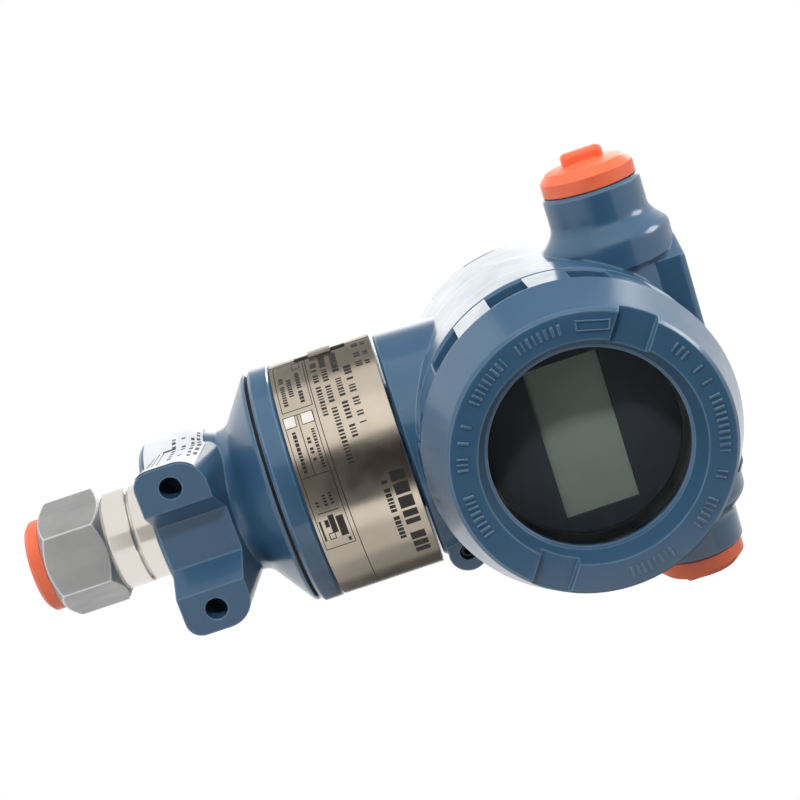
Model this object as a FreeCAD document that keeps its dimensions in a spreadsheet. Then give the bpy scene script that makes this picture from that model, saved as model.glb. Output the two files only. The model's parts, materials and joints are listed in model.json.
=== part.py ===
import FreeCAD, Part
import math
import os
import Sketcher

# In-line pressure transmitter with a local display.
#
# Frame: millimetres, +Z up the stem, from the process connection at Z = 0 to the head. The display
# faces -Y and the cable entries point along -X and +X. The origin is the centre of the open end of
# the process connection.

doc = FreeCAD.newDocument("pressure_transmitter")
sheet = doc.addObject("Spreadsheet::Sheet", "sizes")


# ---------------------------------------------------------------------------------------------
# Sizes: a number together with the spreadsheet expression that drives it
# ---------------------------------------------------------------------------------------------

class Size:
    """A length or angle that knows its value and the spreadsheet expression behind it."""

    def __init__(self, value, text):
        self.value = value
        self.text = text

    def __add__(self, other):
        other = as_size(other)
        return Size(self.value + other.value, f"({self.text} + {other.text})")

    def __radd__(self, other):
        return as_size(other) + self

    def __sub__(self, other):
        other = as_size(other)
        return Size(self.value - other.value, f"({self.text} - {other.text})")

    def __rsub__(self, other):
        return as_size(other) - self

    def __mul__(self, other):
        other = as_size(other)
        return Size(self.value * other.value, f"({self.text} * {other.text})")

    def __rmul__(self, other):
        return as_size(other) * self

    def __truediv__(self, other):
        other = as_size(other)
        return Size(self.value / other.value, f"({self.text} / {other.text})")

    def __neg__(self):
        return Size(-self.value, f"(0 - {self.text})")


def as_size(number):
    """Let a plain number take part in a sum of sizes."""
    return number if isinstance(number, Size) else Size(float(number), f"{float(number):.6f}")


def cosine(degrees):
    """The cosine of an angle in degrees, as a size."""
    degrees = as_size(degrees)
    return Size(math.cos(math.radians(degrees.value)), f"cos({degrees.text} * 1 deg)")


def sine(degrees):
    """The sine of an angle in degrees, as a size."""
    degrees = as_size(degrees)
    return Size(math.sin(math.radians(degrees.value)), f"sin({degrees.text} * 1 deg)")


sheet_row = 0


def size(name, value):
    """Write one driving dimension into the sheet and return it."""
    global sheet_row
    sheet_row += 1
    sheet.set(f"A{sheet_row}", name)
    sheet.set(f"B{sheet_row}", str(value))
    sheet.setAlias(f"B{sheet_row}", name)
    return Size(float(value), f"sizes.{name}")


# Clearances
seat_gap = size("seat_gap", 0.05)                # between pieces of one body that slide together
body_gap = size("body_gap", 0.3)                 # between pieces that move against each other

# Process connection
hex_flats = size("hex_flats", 31.75)             # 1 1/4 inch across flats
hex_length = size("hex_length", 20)
hex_face_radius = size("hex_face_radius", 15.2)
hex_chamfer_rise = size("hex_chamfer_rise", 2.4)
neck_radius = size("neck_radius", 15.3)
neck_chamfer = size("neck_chamfer", 1)
neck_chamfer_rise = size("neck_chamfer_rise", 0.6)
neck_step = size("neck_step", 0.2)               # the neck is this much slimmer above its groove
neck_groove_low = size("neck_groove_low", 28.2)
neck_groove_width = size("neck_groove_width", 0.9)
neck_groove_depth = size("neck_groove_depth", 0.7)
neck_groove_slope = size("neck_groove_slope", 0.3)
spigot_radius = size("spigot_radius", 11)
spigot_length = size("spigot_length", 12)
port_mouth_radius = size("port_mouth_radius", 10.7)
port_radius = size("port_radius", 9.3)           # 1/2 inch taper pipe thread, tapping size
port_depth = size("port_depth", 19)
port_chamfer = size("port_chamfer", 1.4)
impulse_radius = size("impulse_radius", 2.5)

# Sensor
diaphragm_radius = size("diaphragm_radius", 8.6)
diaphragm_thickness = size("diaphragm_thickness", 0.4)
diaphragm_seat_depth = size("diaphragm_seat_depth", 1.0)
diaphragm_ledge = size("diaphragm_ledge", 1.6)   # width of the ledge that it rests on
diaphragm_room = size("diaphragm_room", 0.3)     # depth of the room under it
ripple_radius = size("ripple_radius", 2.2)       # where its ripples start
ripple_width = size("ripple_width", 1)
capsule_radius = size("capsule_radius", 9.8)
capsule_flange_height = size("capsule_flange_height", 3)
capsule_waist_radius = size("capsule_waist_radius", 7.6)
capsule_height = size("capsule_height", 12)
pin_count = 6
pin_circle = size("pin_circle", 4.6)
pin_radius = size("pin_radius", 0.5)
pin_length = size("pin_length", 9)

# Module base with the bracket ears
base_bottom = size("base_bottom", 36.5)
base_radius = size("base_radius", 25.6)
base_edge = size("base_edge", 1.2)
base_shoulder = size("base_shoulder", 17)        # height of the full round part
waist_step = size("waist_step", 3)               # the waist inside the round part
waist_low = size("waist_low", 24)                # heights above the base's bottom
waist_high = size("waist_high", 27)
waist_rounding = size("waist_rounding", 5)
flare_top = size("flare_top", 37.2)
flare_rounding = size("flare_rounding", 1.4)
base_height = size("base_height", 38.1)
base_rim_wall = size("base_rim_wall", 3.5)
cavity_step = size("cavity_step", 4)             # the cavity's wall stands this far off the spigot
bowl_foot_drop = size("bowl_foot_drop", 1)        # the bowl's foot below the waist's top
board_ledge_width = size("board_ledge_width", 2.7)
board_ledge_depth = size("board_ledge_depth", 2.6)
ear_overhang = size("ear_overhang", 0.7)         # each ear beyond the round part, sideways
ear_reach = size("ear_reach", 7.9)               # and to the front
ear_height = size("ear_height", 21.4)
ear_back_rise = size("ear_back_rise", 5.5)
ear_corner = size("ear_corner", 8)
ear_foot_corner = size("ear_foot_corner", 5)
ear_narrowing = size("ear_narrowing", 3)         # how much each side draws in towards the stem
ear_foot_rise = size("ear_foot_rise", 0.6)       # the foot's height above the base's, in front
ear_heel_rise = size("ear_heel_rise", 2.6)       # and at the stem
ear_root = size("ear_root", 6)                   # the ears start this far in front of the stem's axis
channel_mouth = size("channel_mouth", 13.2)      # half widths of the channel between the ears
channel_floor = size("channel_floor", 7)
channel_depth = size("channel_depth", 7.8)
bracket_spacing = size("bracket_spacing", 39)
bracket_rise = size("bracket_rise", 10.8)
bracket_hole_radius = size("bracket_hole_radius", 3.3)
bracket_hole_depth = size("bracket_hole_depth", 13)

# Module shell and nameplate band
gasket_thickness = size("gasket_thickness", 1.0)
gasket_inset = size("gasket_inset", 1.1)
shell_radius = size("shell_radius", 36.6)
shell_wall = size("shell_wall", 3)
shell_height = size("shell_height", 39.1)
ring_step = size("ring_step", 1.15)              # the blue ring beyond the shell
ring_height = size("ring_height", 7.2)
ring_chamfer = size("ring_chamfer", 1.0)
rim_step = size("rim_step", 1.05)                # the base's rim inside the blue ring
shell_lid = size("shell_lid", 3)
module_neck_radius = size("module_neck_radius", 20)
module_neck_height = size("module_neck_height", 5.4)
band_thickness = size("band_thickness", 0.9)
band_inset = size("band_inset", 0.15)
clip_angle = size("clip_angle", 187)             # where the band's ends meet, from +X
clip_slot_width = size("clip_slot_width", 3.4)
clip_slot_length = size("clip_slot_length", 16)
clip_height = size("clip_height", 16)
clip_length = size("clip_length", 7)
clip_width = size("clip_width", 5.4)
clip_thickness = size("clip_thickness", 0.7)
band_seam_width = size("band_seam_width", 0.6)
strip_cut = size("strip_cut", 2)                 # cutters reach this far to either side of the strip
board_thickness = size("board_thickness", 1.6)
retainer_height = size("retainer_height", 0.9)
retainer_width = size("retainer_width", 1.6)
connector_radius = size("connector_radius", 7)
connector_flange_radius = size("connector_flange_radius", 13)
connector_flange = size("connector_flange", 2)
neck_seal_radius = size("neck_seal_radius", 1.1)
neck_seal_rise = size("neck_seal_rise", 2.9)

# Head: the housing casting. Its drum lies along Y; depths count from the stem's axis.
head_axis = size("head_axis", 163.2)
head_neck_inset = size("head_neck_inset", 0.6)   # the neck's foot inside the module shell
head_neck_draft = size("head_neck_draft", 1.4)
head_neck_height = size("head_neck_height", 26)
head_gap = size("head_gap", 0.7)                 # the head's foot above the module shell
bore_radius = size("bore_radius", 39.4)
rim_wall = size("rim_wall", 6)
rim_width = size("rim_width", 14)
rim_edge = size("rim_edge", 0.8)
drum_step = size("drum_step", 0.6)               # the drum inside its front rim
drum_front = size("drum_front", 34.5)
drum_back = size("drum_back", 26)
drum_groove = size("drum_groove", 0.8)
parting_step = size("parting_step", 0.3)         # step at the casting's parting line
parting_depth = size("parting_depth", 1.5)       # behind the stem's axis
bulkhead_front = size("bulkhead_front", 18.6)
bulkhead_thickness = size("bulkhead_thickness", 3)
entry_height = size("entry_height", 28.2)        # cable entries above the drum's axis
entry_depth = size("entry_depth", 4.3)           # and in front of the stem's axis
entry_reach = size("entry_reach", 59.5)
entry_radius = size("entry_radius", 15.15)
entry_bore_radius = size("entry_bore_radius", 10.4)
collar_radius = size("collar_radius", 19.8)
collar_reach = size("collar_reach", 46.5)
collar_back = size("collar_back", 34)
collar_slope = size("collar_slope", 5)           # length of the slope down to the entry
collar_round = size("collar_round", 4)
entry_edge = size("entry_edge", 0.8)
deck_half_length = size("deck_half_length", 40)
deck_top = size("deck_top", 47.4)                # above the drum's axis
deck_width = size("deck_width", 30)
deck_foot = size("deck_foot", 24)
deck_round = size("deck_round", 2.4)
deck_corner_length = size("deck_corner_length", 6)    # the cut front corners, along the deck
deck_corner_depth = size("deck_corner_depth", 8)      # and into its depth
neck_bore_depth = size("neck_bore_depth", 5.9)
wire_way_radius = size("wire_way_radius", 5)
wire_way_depth = size("wire_way_depth", 25.2)
wire_channel_stop = size("wire_channel_stop", 12)     # the channel ends this far in front of the axis
screw_boss_side = size("screw_boss_side", 31.5)
screw_boss_rise = size("screw_boss_rise", 7.2)
screw_boss_radius = size("screw_boss_radius", 6)
screw_boss_front = size("screw_boss_front", 22.5)
screw_boss_back = size("screw_boss_back", 4)
set_screw_radius = size("set_screw_radius", 2.5)
set_screw_length = size("set_screw_length", 6)
set_screw_inset = size("set_screw_inset", 1.2)
set_screw_socket = size("set_screw_socket", 2.4)

# Covers
cover_face = size("cover_face", 67.2)            # depth of the front cover's face
cover_face_radius = size("cover_face_radius", 39.6)
cover_edge = size("cover_edge", 0.9)
cover_cone_start = size("cover_cone_start", 50.5)
cover_foot_gap = size("cover_foot_gap", 0.35)
foot_edge = size("foot_edge", 0.6)
lug_gap_depth = size("lug_gap_depth", 4)
lug_gap_floor = size("lug_gap_floor", 6)         # length of a gap's level floor, before it rises
lug_gap_length = size("lug_gap_length", 20)
lug_count = 12
lug_turn = size("lug_turn", 4.75)                # first lug's middle, from -X towards +Z
cover_thread_length = size("cover_thread_length", 10)
cover_thread_wall = size("cover_thread_wall", 3.7)
face_ring_radius = size("face_ring_radius", 31.4)
window_radius = size("window_radius", 28.1)
window_depth = size("window_depth", 6.0)         # from the face to the window's lip
window_lip = size("window_lip", 1.2)
wrench_width = size("wrench_width", 11)
wrench_depth = size("wrench_depth", 2.4)
wrench_overlap = size("wrench_overlap", 1.4)     # the slots start this far inside the face's ring
wrench_turn = size("wrench_turn", 34)            # the wrench slots' line, from -X towards +Z
glass_radius = size("glass_radius", 31)
glass_thickness = size("glass_thickness", 8)
glass_gasket = size("glass_gasket", 0.8)
glass_ring_height = size("glass_ring_height", 2.4)
rear_face = size("rear_face", 46)                # depth of the rear cover's face, behind the axis
rear_lid = size("rear_lid", 6)
rear_lug_wall = size("rear_lug_wall", 4)
rear_lug_length = size("rear_lug_length", 7)
rear_gap_depth = size("rear_gap_depth", 2)
rear_recess = size("rear_recess", 2.2)
seal_radius = size("seal_radius", 1.2)

# Electronics and display
standoff_radius = size("standoff_radius", 2.6)
standoff_length = size("standoff_length", 4.4)
standoff_circle = size("standoff_circle", 29)
main_board_radius = size("main_board_radius", 35)
board_screw_radius = size("board_screw_radius", 1.25)
board_screw_head = size("board_screw_head", 2.4)
board_screw_head_height = size("board_screw_head_height", 1.5)
board_screw_length = size("board_screw_length", 5)
display_radius = size("display_radius", 32.4)
display_front = size("display_front", 47.9)
display_wall = size("display_wall", 1.6)
display_edge = size("display_edge", 1.5)
lcd_width = size("lcd_width", 45)
lcd_height = size("lcd_height", 21.6)
lcd_thickness = size("lcd_thickness", 2.2)
lcd_margin = size("lcd_margin", 3)
display_board_radius = size("display_board_radius", 30.5)
display_board_depth = size("display_board_depth", 40)

# Terminal side
terminal_radius = size("terminal_radius", 33)
terminal_base = size("terminal_base", 8)
terminal_gap = size("terminal_gap", 0.2)
terminal_lift = size("terminal_lift", 3)         # the clamps above the barriers' middle
screw_slot_width = size("screw_slot_width", 0.8)
fixing_head_radius = size("fixing_head_radius", 2.8)
fixing_head = size("fixing_head", 1.8)
fixing_shank_radius = size("fixing_shank_radius", 1.5)
barrier_height = size("barrier_height", 7)
barrier_width = size("barrier_width", 2.2)
barrier_reach = size("barrier_reach", 15)
barrier_drop = size("barrier_drop", 13)
terminal_pitch = size("terminal_pitch", 12.5)
terminal_count = 4
terminal_screw_radius = size("terminal_screw_radius", 3.4)
terminal_screw_head = size("terminal_screw_head", 2.2)
terminal_shank_radius = size("terminal_shank_radius", 1.9)
terminal_shank = size("terminal_shank", 5)
clamp_side = size("clamp_side", 9)
clamp_thickness = size("clamp_thickness", 1.2)
fixing_circle = size("fixing_circle", 27.5)
feedthrough_radius = size("feedthrough_radius", 5)
feedthrough_drop = size("feedthrough_drop", 18)
feedthrough_lip = size("feedthrough_lip", 1)
feedthrough_lip_height = size("feedthrough_lip_height", 1.2)

# Plugs and cap
plug_flange_radius = size("plug_flange_radius", 14.2)
plug_flange = size("plug_flange", 6.4)
plug_dome = size("plug_dome", 1.6)
plug_edge = size("plug_edge", 2.4)
plug_spigot_radius = size("plug_spigot_radius", 10.1)
plug_spigot = size("plug_spigot", 10)
plug_wall = size("plug_wall", 1.6)
plug_tab_length = size("plug_tab_length", 12.6)
plug_tab_width = size("plug_tab_width", 5.6)
plug_tab_height = size("plug_tab_height", 2.8)
cap_flange_radius = size("cap_flange_radius", 14.4)
cap_flange = size("cap_flange", 4.6)
cap_dome = size("cap_dome", 0.4)
cap_edge = size("cap_edge", 1.2)
cap_spigot_radius = size("cap_spigot_radius", 9.0)
cap_spigot = size("cap_spigot", 11)
cap_tab_length = size("cap_tab_length", 17)
cap_tab_height = size("cap_tab_height", 1.6)

# Label on the ear
label_length = size("label_length", 15)
label_depth = size("label_depth", 20)
label_thickness = size("label_thickness", 0.25)
label_glue = size("label_glue", 0.03)
label_rise = size("label_rise", 7.5)
label_inset = size("label_inset", 0.4)


# ---------------------------------------------------------------------------------------------
# Helpers
# ---------------------------------------------------------------------------------------------

def drive(item, **values):
    """Bind properties of an object to sizes: the value now, and the expression for later."""
    for prop, amount in values.items():
        amount = as_size(amount)
        setattr(item, prop, amount.value)
        item.setExpression(prop, amount.text)
    return item


def put(item, x=0, y=0, z=0, turn=None):
    """Place an object at sizes, with an optional (axis, degrees) turn."""
    x, y, z = as_size(x), as_size(y), as_size(z)
    rotation = FreeCAD.Rotation()
    if turn:
        rotation = FreeCAD.Rotation(FreeCAD.Vector(*turn[0]), turn[1])
    item.Placement = FreeCAD.Placement(FreeCAD.Vector(x.value, y.value, z.value), rotation)
    for axis, amount in (("x", x), ("y", y), ("z", z)):
        item.setExpression(f"Placement.Base.{axis}", amount.text)
    return item


def origin_plane(body, role):
    """One of a body's own origin planes, by its role."""
    return next(f for f in body.Origin.OriginFeatures if f.Role == role)


def add_sketch(body, name, plane="XZ_Plane"):
    """A sketch on one of the body's origin planes."""
    sketch = body.newObject("Sketcher::SketchObject", name)
    sketch.AttachmentSupport = [(origin_plane(body, plane), "")]
    sketch.MapMode = "FlatFace"
    return sketch


def outline(sketch, points):
    """A closed outline of straight lines through points given as pairs of sizes.

    Each corner is tied to the sketch's axes by one dimension each way, driven by the sheet.
    """
    corners = [(as_size(x), as_size(y)) for x, y in points]
    count = len(corners)
    first = sketch.GeometryCount
    for i in range(count):
        a, b = corners[i], corners[(i + 1) % count]
        sketch.addGeometry(Part.LineSegment(FreeCAD.Vector(a[0].value, a[1].value, 0),
                                            FreeCAD.Vector(b[0].value, b[1].value, 0)), False)
    for i in range(count):
        line, following = first + i, first + (i + 1) % count
        sketch.addConstraint(Sketcher.Constraint("Coincident", line, 2, following, 1))
    for i, (x, y) in enumerate(corners):
        for kind, amount, axis in (("DistanceX", x, -2), ("DistanceY", y, -1)):
            if abs(amount.value) < 1e-9:
                sketch.addConstraint(Sketcher.Constraint("PointOnObject", first + i, 1, axis))
                continue
            index = sketch.addConstraint(
                Sketcher.Constraint(kind, -1, 1, first + i, 1, amount.value))
            sketch.setExpression(f"Constraints[{index}]", amount.text)


def spin(body, name, points, cut=False):
    """Turn an outline of (radius, height) points about the body's Z axis, adding or cutting."""
    sketch = add_sketch(body, name + "_profile")
    outline(sketch, points)
    feature = body.newObject("PartDesign::Groove" if cut else "PartDesign::Revolution", name)
    feature.Profile = sketch
    feature.ReferenceAxis = (sketch, ["V_Axis"])
    feature.Angle = 360
    return feature


def turned(name, points):
    """A body turned from one outline of (radius, height) points."""
    body = doc.addObject("PartDesign::Body", name)
    body.Label = name
    spin(body, name + "_turning", points)
    return body


def ring_points(inner, outer, low, high):
    """The outline of a plain ring."""
    return [(inner, low), (outer, low), (outer, high), (inner, high)]


FORWARD = ((1, 0, 0), 90)        # a piece's own +Z points to -Y, its +Y to +Z
BACKWARD = ((1, 0, 0), -90)      # a piece's own +Z points to +Y, its +Y to -Z


def cylinder(name, radius, height, x=0, y=0, z=0, turn=None):
    """A driven Part cylinder."""
    item = doc.addObject("Part::Cylinder", name)
    drive(item, Radius=radius, Height=height)
    return put(item, x, y, z, turn)


def box(name, length, width, height, x=0, y=0, z=0, turn=None):
    """A driven Part box whose placement gives its lowest corner."""
    item = doc.addObject("Part::Box", name)
    drive(item, Length=length, Width=width, Height=height)
    return put(item, x, y, z, turn)


def fuse(name, items):
    """Join several objects into one."""
    joined = doc.addObject("Part::MultiFuse", name)
    joined.Shapes = items
    return joined


def cut(name, base, tool):
    """Cut one object from another."""
    result = doc.addObject("Part::Cut", name)
    result.Base = base
    result.Tool = tool
    return result


def group(name, items):
    """Several separate solids kept as one node."""
    compound = doc.addObject("Part::Compound", name)
    compound.Links = items
    return compound


def find_edges(shape, test):
    """The names' numbers of the edges whose middle point and edge pass a test."""
    numbers = []
    for number, edge in enumerate(shape.Edges, 1):
        middle = edge.valueAt((edge.FirstParameter + edge.LastParameter) / 2)
        if test(edge, middle):
            numbers.append(number)
    return numbers


def near(a, b, tolerance=0.02):
    """Whether two lengths agree."""
    return abs(a - as_size(b).value) < tolerance


def ring_edges(shape, radius, height, axis_of=lambda p: (math.hypot(p.x, p.y), p.z)):
    """Edges that are rings of a radius at a height, about Z unless another axis is given."""
    def test(edge, middle):
        r, h = axis_of(middle)
        return near(r, radius) and near(h, height)
    return find_edges(shape, test)


def soften(body, name, numbers, radius):
    """Round edges of a body's latest feature."""
    feature = body.newObject("PartDesign::Fillet", name)
    feature.Base = (body.Tip if body.Tip != feature else feature.BaseFeature,
                    [f"Edge{n}" for n in numbers])
    drive(feature, Radius=radius)
    return feature


nodes = []


def node(item, name):
    """Name an object as one piece of the product."""
    item.Label = name
    nodes.append((name, item))
    return item


# ---------------------------------------------------------------------------------------------
# Process connection: hexagon, round neck with its groove, and the threaded port
# ---------------------------------------------------------------------------------------------

hex_corner_radius = hex_flats / math.sqrt(3)
neck_groove_high = neck_groove_low + neck_groove_width
spigot_top = base_bottom + spigot_length
diaphragm_seat = spigot_top - diaphragm_seat_depth

connection = doc.addObject("PartDesign::Body", "process_connection")
hexagon = add_sketch(connection, "hexagon", "XY_Plane")
HEX_LEAD = 10.0                  # degrees that a corner stands off the front
outline(hexagon, [(hex_corner_radius * cosine(60 * k - 60 - HEX_LEAD),
                   hex_corner_radius * sine(60 * k - 60 - HEX_LEAD)) for k in range(6)])
hex_pad = connection.newObject("PartDesign::Pad", "hexagon_bar")
hex_pad.Profile = hexagon
drive(hex_pad, Length=hex_length)
beyond_corner = hex_corner_radius + 1
chamfer_slope = hex_chamfer_rise / (hex_corner_radius - hex_face_radius)
chamfer_height = (beyond_corner - hex_face_radius) * chamfer_slope
spin(connection, "front_chamfer",
     [(hex_face_radius, 0), (beyond_corner, 0), (beyond_corner, chamfer_height)], cut=True)
spin(connection, "back_chamfer",
     [(hex_face_radius, hex_length), (beyond_corner, hex_length),
      (beyond_corner, hex_length - chamfer_height)], cut=True)
spin(connection, "neck", [
    (0, hex_length - neck_chamfer), (neck_radius - neck_chamfer, hex_length - neck_chamfer),
    (neck_radius - neck_chamfer, hex_length), (neck_radius, hex_length + neck_chamfer_rise),
    (neck_radius, neck_groove_low),
    (neck_radius - neck_groove_depth, neck_groove_low + neck_groove_slope),
    (neck_radius - neck_groove_depth, neck_groove_high),
    (neck_radius - neck_step, neck_groove_high), (neck_radius - neck_step, base_bottom),
    (spigot_radius, base_bottom), (spigot_radius, spigot_top), (0, spigot_top)])
spin(connection, "port", [
    (0, 0), (port_mouth_radius, 0), (port_radius, port_chamfer), (port_radius, port_depth),
    (impulse_radius, port_depth + port_radius * 0.5), (impulse_radius, diaphragm_seat - 1),
    (diaphragm_radius - diaphragm_ledge, diaphragm_seat - diaphragm_room),
    (diaphragm_radius - diaphragm_ledge, diaphragm_seat),
    (diaphragm_radius, diaphragm_seat), (diaphragm_radius, spigot_top), (0, spigot_top)], cut=True)
node(connection, "process_connection")

# Isolating diaphragm: a thin disc with two ring corrugations, seated on the port's ledge.
ripple = diaphragm_thickness / 2
rippled = [(ripple_radius + ripple_width * k, diaphragm_seat + ripple * (k % 2)) for k in range(5)]
low_face = [(0, diaphragm_seat)] + rippled + [(diaphragm_radius - seat_gap, diaphragm_seat)]
high_face = [(r, z + diaphragm_thickness) for r, z in reversed(low_face)]
node(turned("isolating_diaphragm", low_face + high_face), "isolating_diaphragm")

capsule_top = spigot_top + capsule_height
node(turned("sensor_capsule", [
    (0, spigot_top), (capsule_radius, spigot_top),
    (capsule_radius, spigot_top + capsule_flange_height),
    (capsule_waist_radius, spigot_top + capsule_flange_height + 1),
    (capsule_waist_radius, capsule_top - 1), (capsule_waist_radius - 1, capsule_top),
    (0, capsule_top)]), "sensor_capsule")

pins = []
for k in range(pin_count):
    turn = 360 / pin_count * k
    pins.append(cylinder(f"header_pin_{k + 1}", pin_radius, pin_length,
                         pin_circle * cosine(turn), pin_circle * sine(turn), capsule_top))
node(group("header_pins", pins), "header_pins")


# ---------------------------------------------------------------------------------------------
# Module base: waisted casting with two bracket ears in front
# ---------------------------------------------------------------------------------------------

base_top = base_bottom + base_height
board_seat = base_top - board_ledge_depth
base_bore = spigot_radius + seat_gap
base_cavity_radius = spigot_radius + cavity_step
waist_radius = base_radius - waist_step
ring_radius = shell_radius + ring_step
base_rim_radius = ring_radius - rim_step
board_ledge_radius = base_rim_radius - base_rim_wall
base_bowl_radius = board_ledge_radius - board_ledge_width

round_base = turned("round_base", [
    (base_bore, base_bottom), (base_radius - base_edge, base_bottom),
    (base_radius, base_bottom + base_edge),
    (base_radius, base_bottom + base_shoulder), (waist_radius, base_bottom + waist_low),
    (waist_radius, base_bottom + waist_high), (base_rim_radius, base_bottom + flare_top),
    (base_rim_radius, base_top), (board_ledge_radius, base_top),
    (board_ledge_radius, board_seat), (base_bowl_radius, board_seat),
    (base_cavity_radius, base_bottom + waist_high - bowl_foot_drop),
    (base_cavity_radius, spigot_top), (base_bore, spigot_top)])
doc.recompute()
for step, (radius, height, rounding) in enumerate([
        (waist_radius, base_bottom + waist_high, waist_rounding),
        (base_radius, base_bottom + base_shoulder, waist_rounding),
        (base_rim_radius, base_bottom + flare_top, flare_rounding)]):
    softened = soften(round_base, f"base_round_{step}",
                      ring_edges(round_base.Shape, radius, height), rounding)
    round_base.Tip = softened
    doc.recompute()

ear_half_width = base_radius + ear_overhang
ear_front = base_radius + ear_reach


# The ears' block widens in height towards the stem, so that its top runs into the flare.
def runs_back(edge, middle, top):
    """An edge of the block that runs from front to back, at its top or foot corners."""
    a, b = edge.Vertexes[0].Point, edge.Vertexes[-1].Point
    lengthwise = abs(a.y - b.y) > 1
    high = middle.z > (base_bottom + ear_height / 2).value
    return lengthwise and high == top


def ear_block(name, grow=0):
    """The block of both ears, its corners rounded, or the same block grown at sides and top."""
    half_front = ear_half_width + grow
    half_back = half_front - ear_narrowing
    block = doc.addObject("Part::Wedge", name + "_wedge")
    drive(block, Xmin=-half_front, Xmax=half_front, Ymin=-ear_front, Ymax=-ear_root,
          Zmin=base_bottom + ear_foot_rise, Zmax=base_bottom + ear_height + grow,
          X2min=-half_back, X2max=half_back,
          Z2min=base_bottom + ear_heel_rise,
          Z2max=base_bottom + ear_height + ear_back_rise + grow)
    doc.recompute()
    rounded = doc.addObject("Part::Fillet", name)
    rounded.Base = block
    top, foot = (ear_corner + grow).value, ear_foot_corner.value
    rounded.Edges = (
        [(n, top, top) for n in find_edges(block.Shape, lambda e, m: runs_back(e, m, True))]
        + [(n, foot, foot) for n in find_edges(block.Shape, lambda e, m: runs_back(e, m, False))])
    return rounded


rounded_block = ear_block("ear_block")

channel = doc.addObject("Part::Wedge", "ear_channel")
channel_over = 1.0               # the cutter stands this far clear of the ears' faces
channel_slope = (channel_mouth - channel_floor) / channel_depth
mouth_half = channel_mouth + channel_slope * channel_over
channel_top = base_bottom + waist_high + 1
drive(channel, Xmin=-mouth_half, Xmax=mouth_half, Ymin=-(ear_front + channel_over),
      Ymax=-(ear_front - channel_depth), Zmin=base_bottom - channel_over, Zmax=channel_top,
      X2min=-channel_floor, X2max=channel_floor, Z2min=base_bottom - channel_over,
      Z2max=channel_top)

bracket_holes = []
for side in (-1, 1):
    hole = doc.addObject("Part::Cylinder", "bracket_hole_left" if side < 0 else "bracket_hole_right")
    drive(hole, Radius=bracket_hole_radius, Height=bracket_hole_depth)
    put(hole, bracket_spacing / 2 * side, -(ear_front - bracket_hole_depth),
        base_bottom + bracket_rise, FORWARD)
    bracket_holes.append(hole)
# The block is hollowed again where the round base is hollow.
base_hollow = cylinder("base_hollow", base_cavity_radius, ear_height + ear_back_rise,
                       0, 0, base_bottom)
ears = cut("bracket_ears", rounded_block, fuse("ear_cutters", [channel, base_hollow] + bracket_holes))
base_holes = fuse("base_hole_cutters", [doc.copyObject(h) for h in bracket_holes])
module_base = fuse("module_base", [cut("drilled_base", round_base, base_holes), ears])
node(module_base, "module_base")

node(turned("seam_gasket", ring_points(base_rim_radius - base_rim_wall, base_rim_radius - gasket_inset,
                                       base_top, base_top + gasket_thickness)), "seam_gasket")

node(turned("module_board", [
    (0, board_seat), (board_ledge_radius - seat_gap, board_seat),
    (board_ledge_radius - seat_gap, board_seat + board_thickness),
    (0, board_seat + board_thickness)]), "module_board")
node(turned("board_retainer", ring_points(
    board_ledge_radius - seat_gap - retainer_width, board_ledge_radius - seat_gap,
    board_seat + board_thickness, board_seat + board_thickness + retainer_height)),
    "board_retainer")


# ---------------------------------------------------------------------------------------------
# Module shell: blue ring, shell under the nameplate band, and the neck that carries the head
# ---------------------------------------------------------------------------------------------

shell_bottom = base_top + gasket_thickness
ring_top = shell_bottom + ring_height
shell_top = shell_bottom + shell_height
neck_top = shell_top + module_neck_height
shell_inner = shell_radius - shell_wall
connector_seat = neck_top - connector_flange
seal_groove = neck_seal_radius * 2
seal_low = shell_top + neck_seal_rise - neck_seal_radius - seat_gap
seal_high = shell_top + neck_seal_rise + neck_seal_radius + seat_gap

node(turned("module_shell", [
    (shell_inner, shell_bottom), (ring_radius - ring_chamfer, shell_bottom),
    (ring_radius, shell_bottom + ring_chamfer), (ring_radius, ring_top - ring_chamfer),
    (ring_radius - ring_chamfer, ring_top), (shell_radius, ring_top),
    (shell_radius, shell_top), (module_neck_radius, shell_top),
    (module_neck_radius, seal_low), (module_neck_radius - seal_groove, seal_low),
    (module_neck_radius - seal_groove, seal_high), (module_neck_radius, seal_high),
    (module_neck_radius, neck_top), (connector_flange_radius + seat_gap, neck_top),
    (connector_flange_radius + seat_gap, connector_seat), (connector_radius + seat_gap,
                                                           connector_seat),
    (connector_radius + seat_gap, shell_top - shell_lid), (shell_inner, shell_top - shell_lid)]),
    "module_shell")

node(turned("module_connector", [
    (0, shell_top - shell_lid), (connector_radius, shell_top - shell_lid),
    (connector_radius, connector_seat), (connector_flange_radius, connector_seat),
    (connector_flange_radius, neck_top), (connector_radius - 2, neck_top),
    (connector_radius - 2, neck_top - 1), (0, neck_top - 1)]), "module_connector")

neck_seal = doc.addObject("Part::Torus", "neck_seal")
drive(neck_seal, Radius1=module_neck_radius - seal_groove + neck_seal_radius + seat_gap,
      Radius2=neck_seal_radius)
put(neck_seal, 0, 0, shell_top + neck_seal_rise)
node(neck_seal, "neck_seal")

# Nameplate band: a rolled strip round the shell. Its ends meet at the clip's slot.
band_inner = shell_radius + seat_gap
band_outer = band_inner + band_thickness
band_low = ring_top + band_inset
band_high = shell_top - band_inset
band_sleeve = turned("band_sleeve", ring_points(band_inner, band_outer, band_low, band_high))


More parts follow.
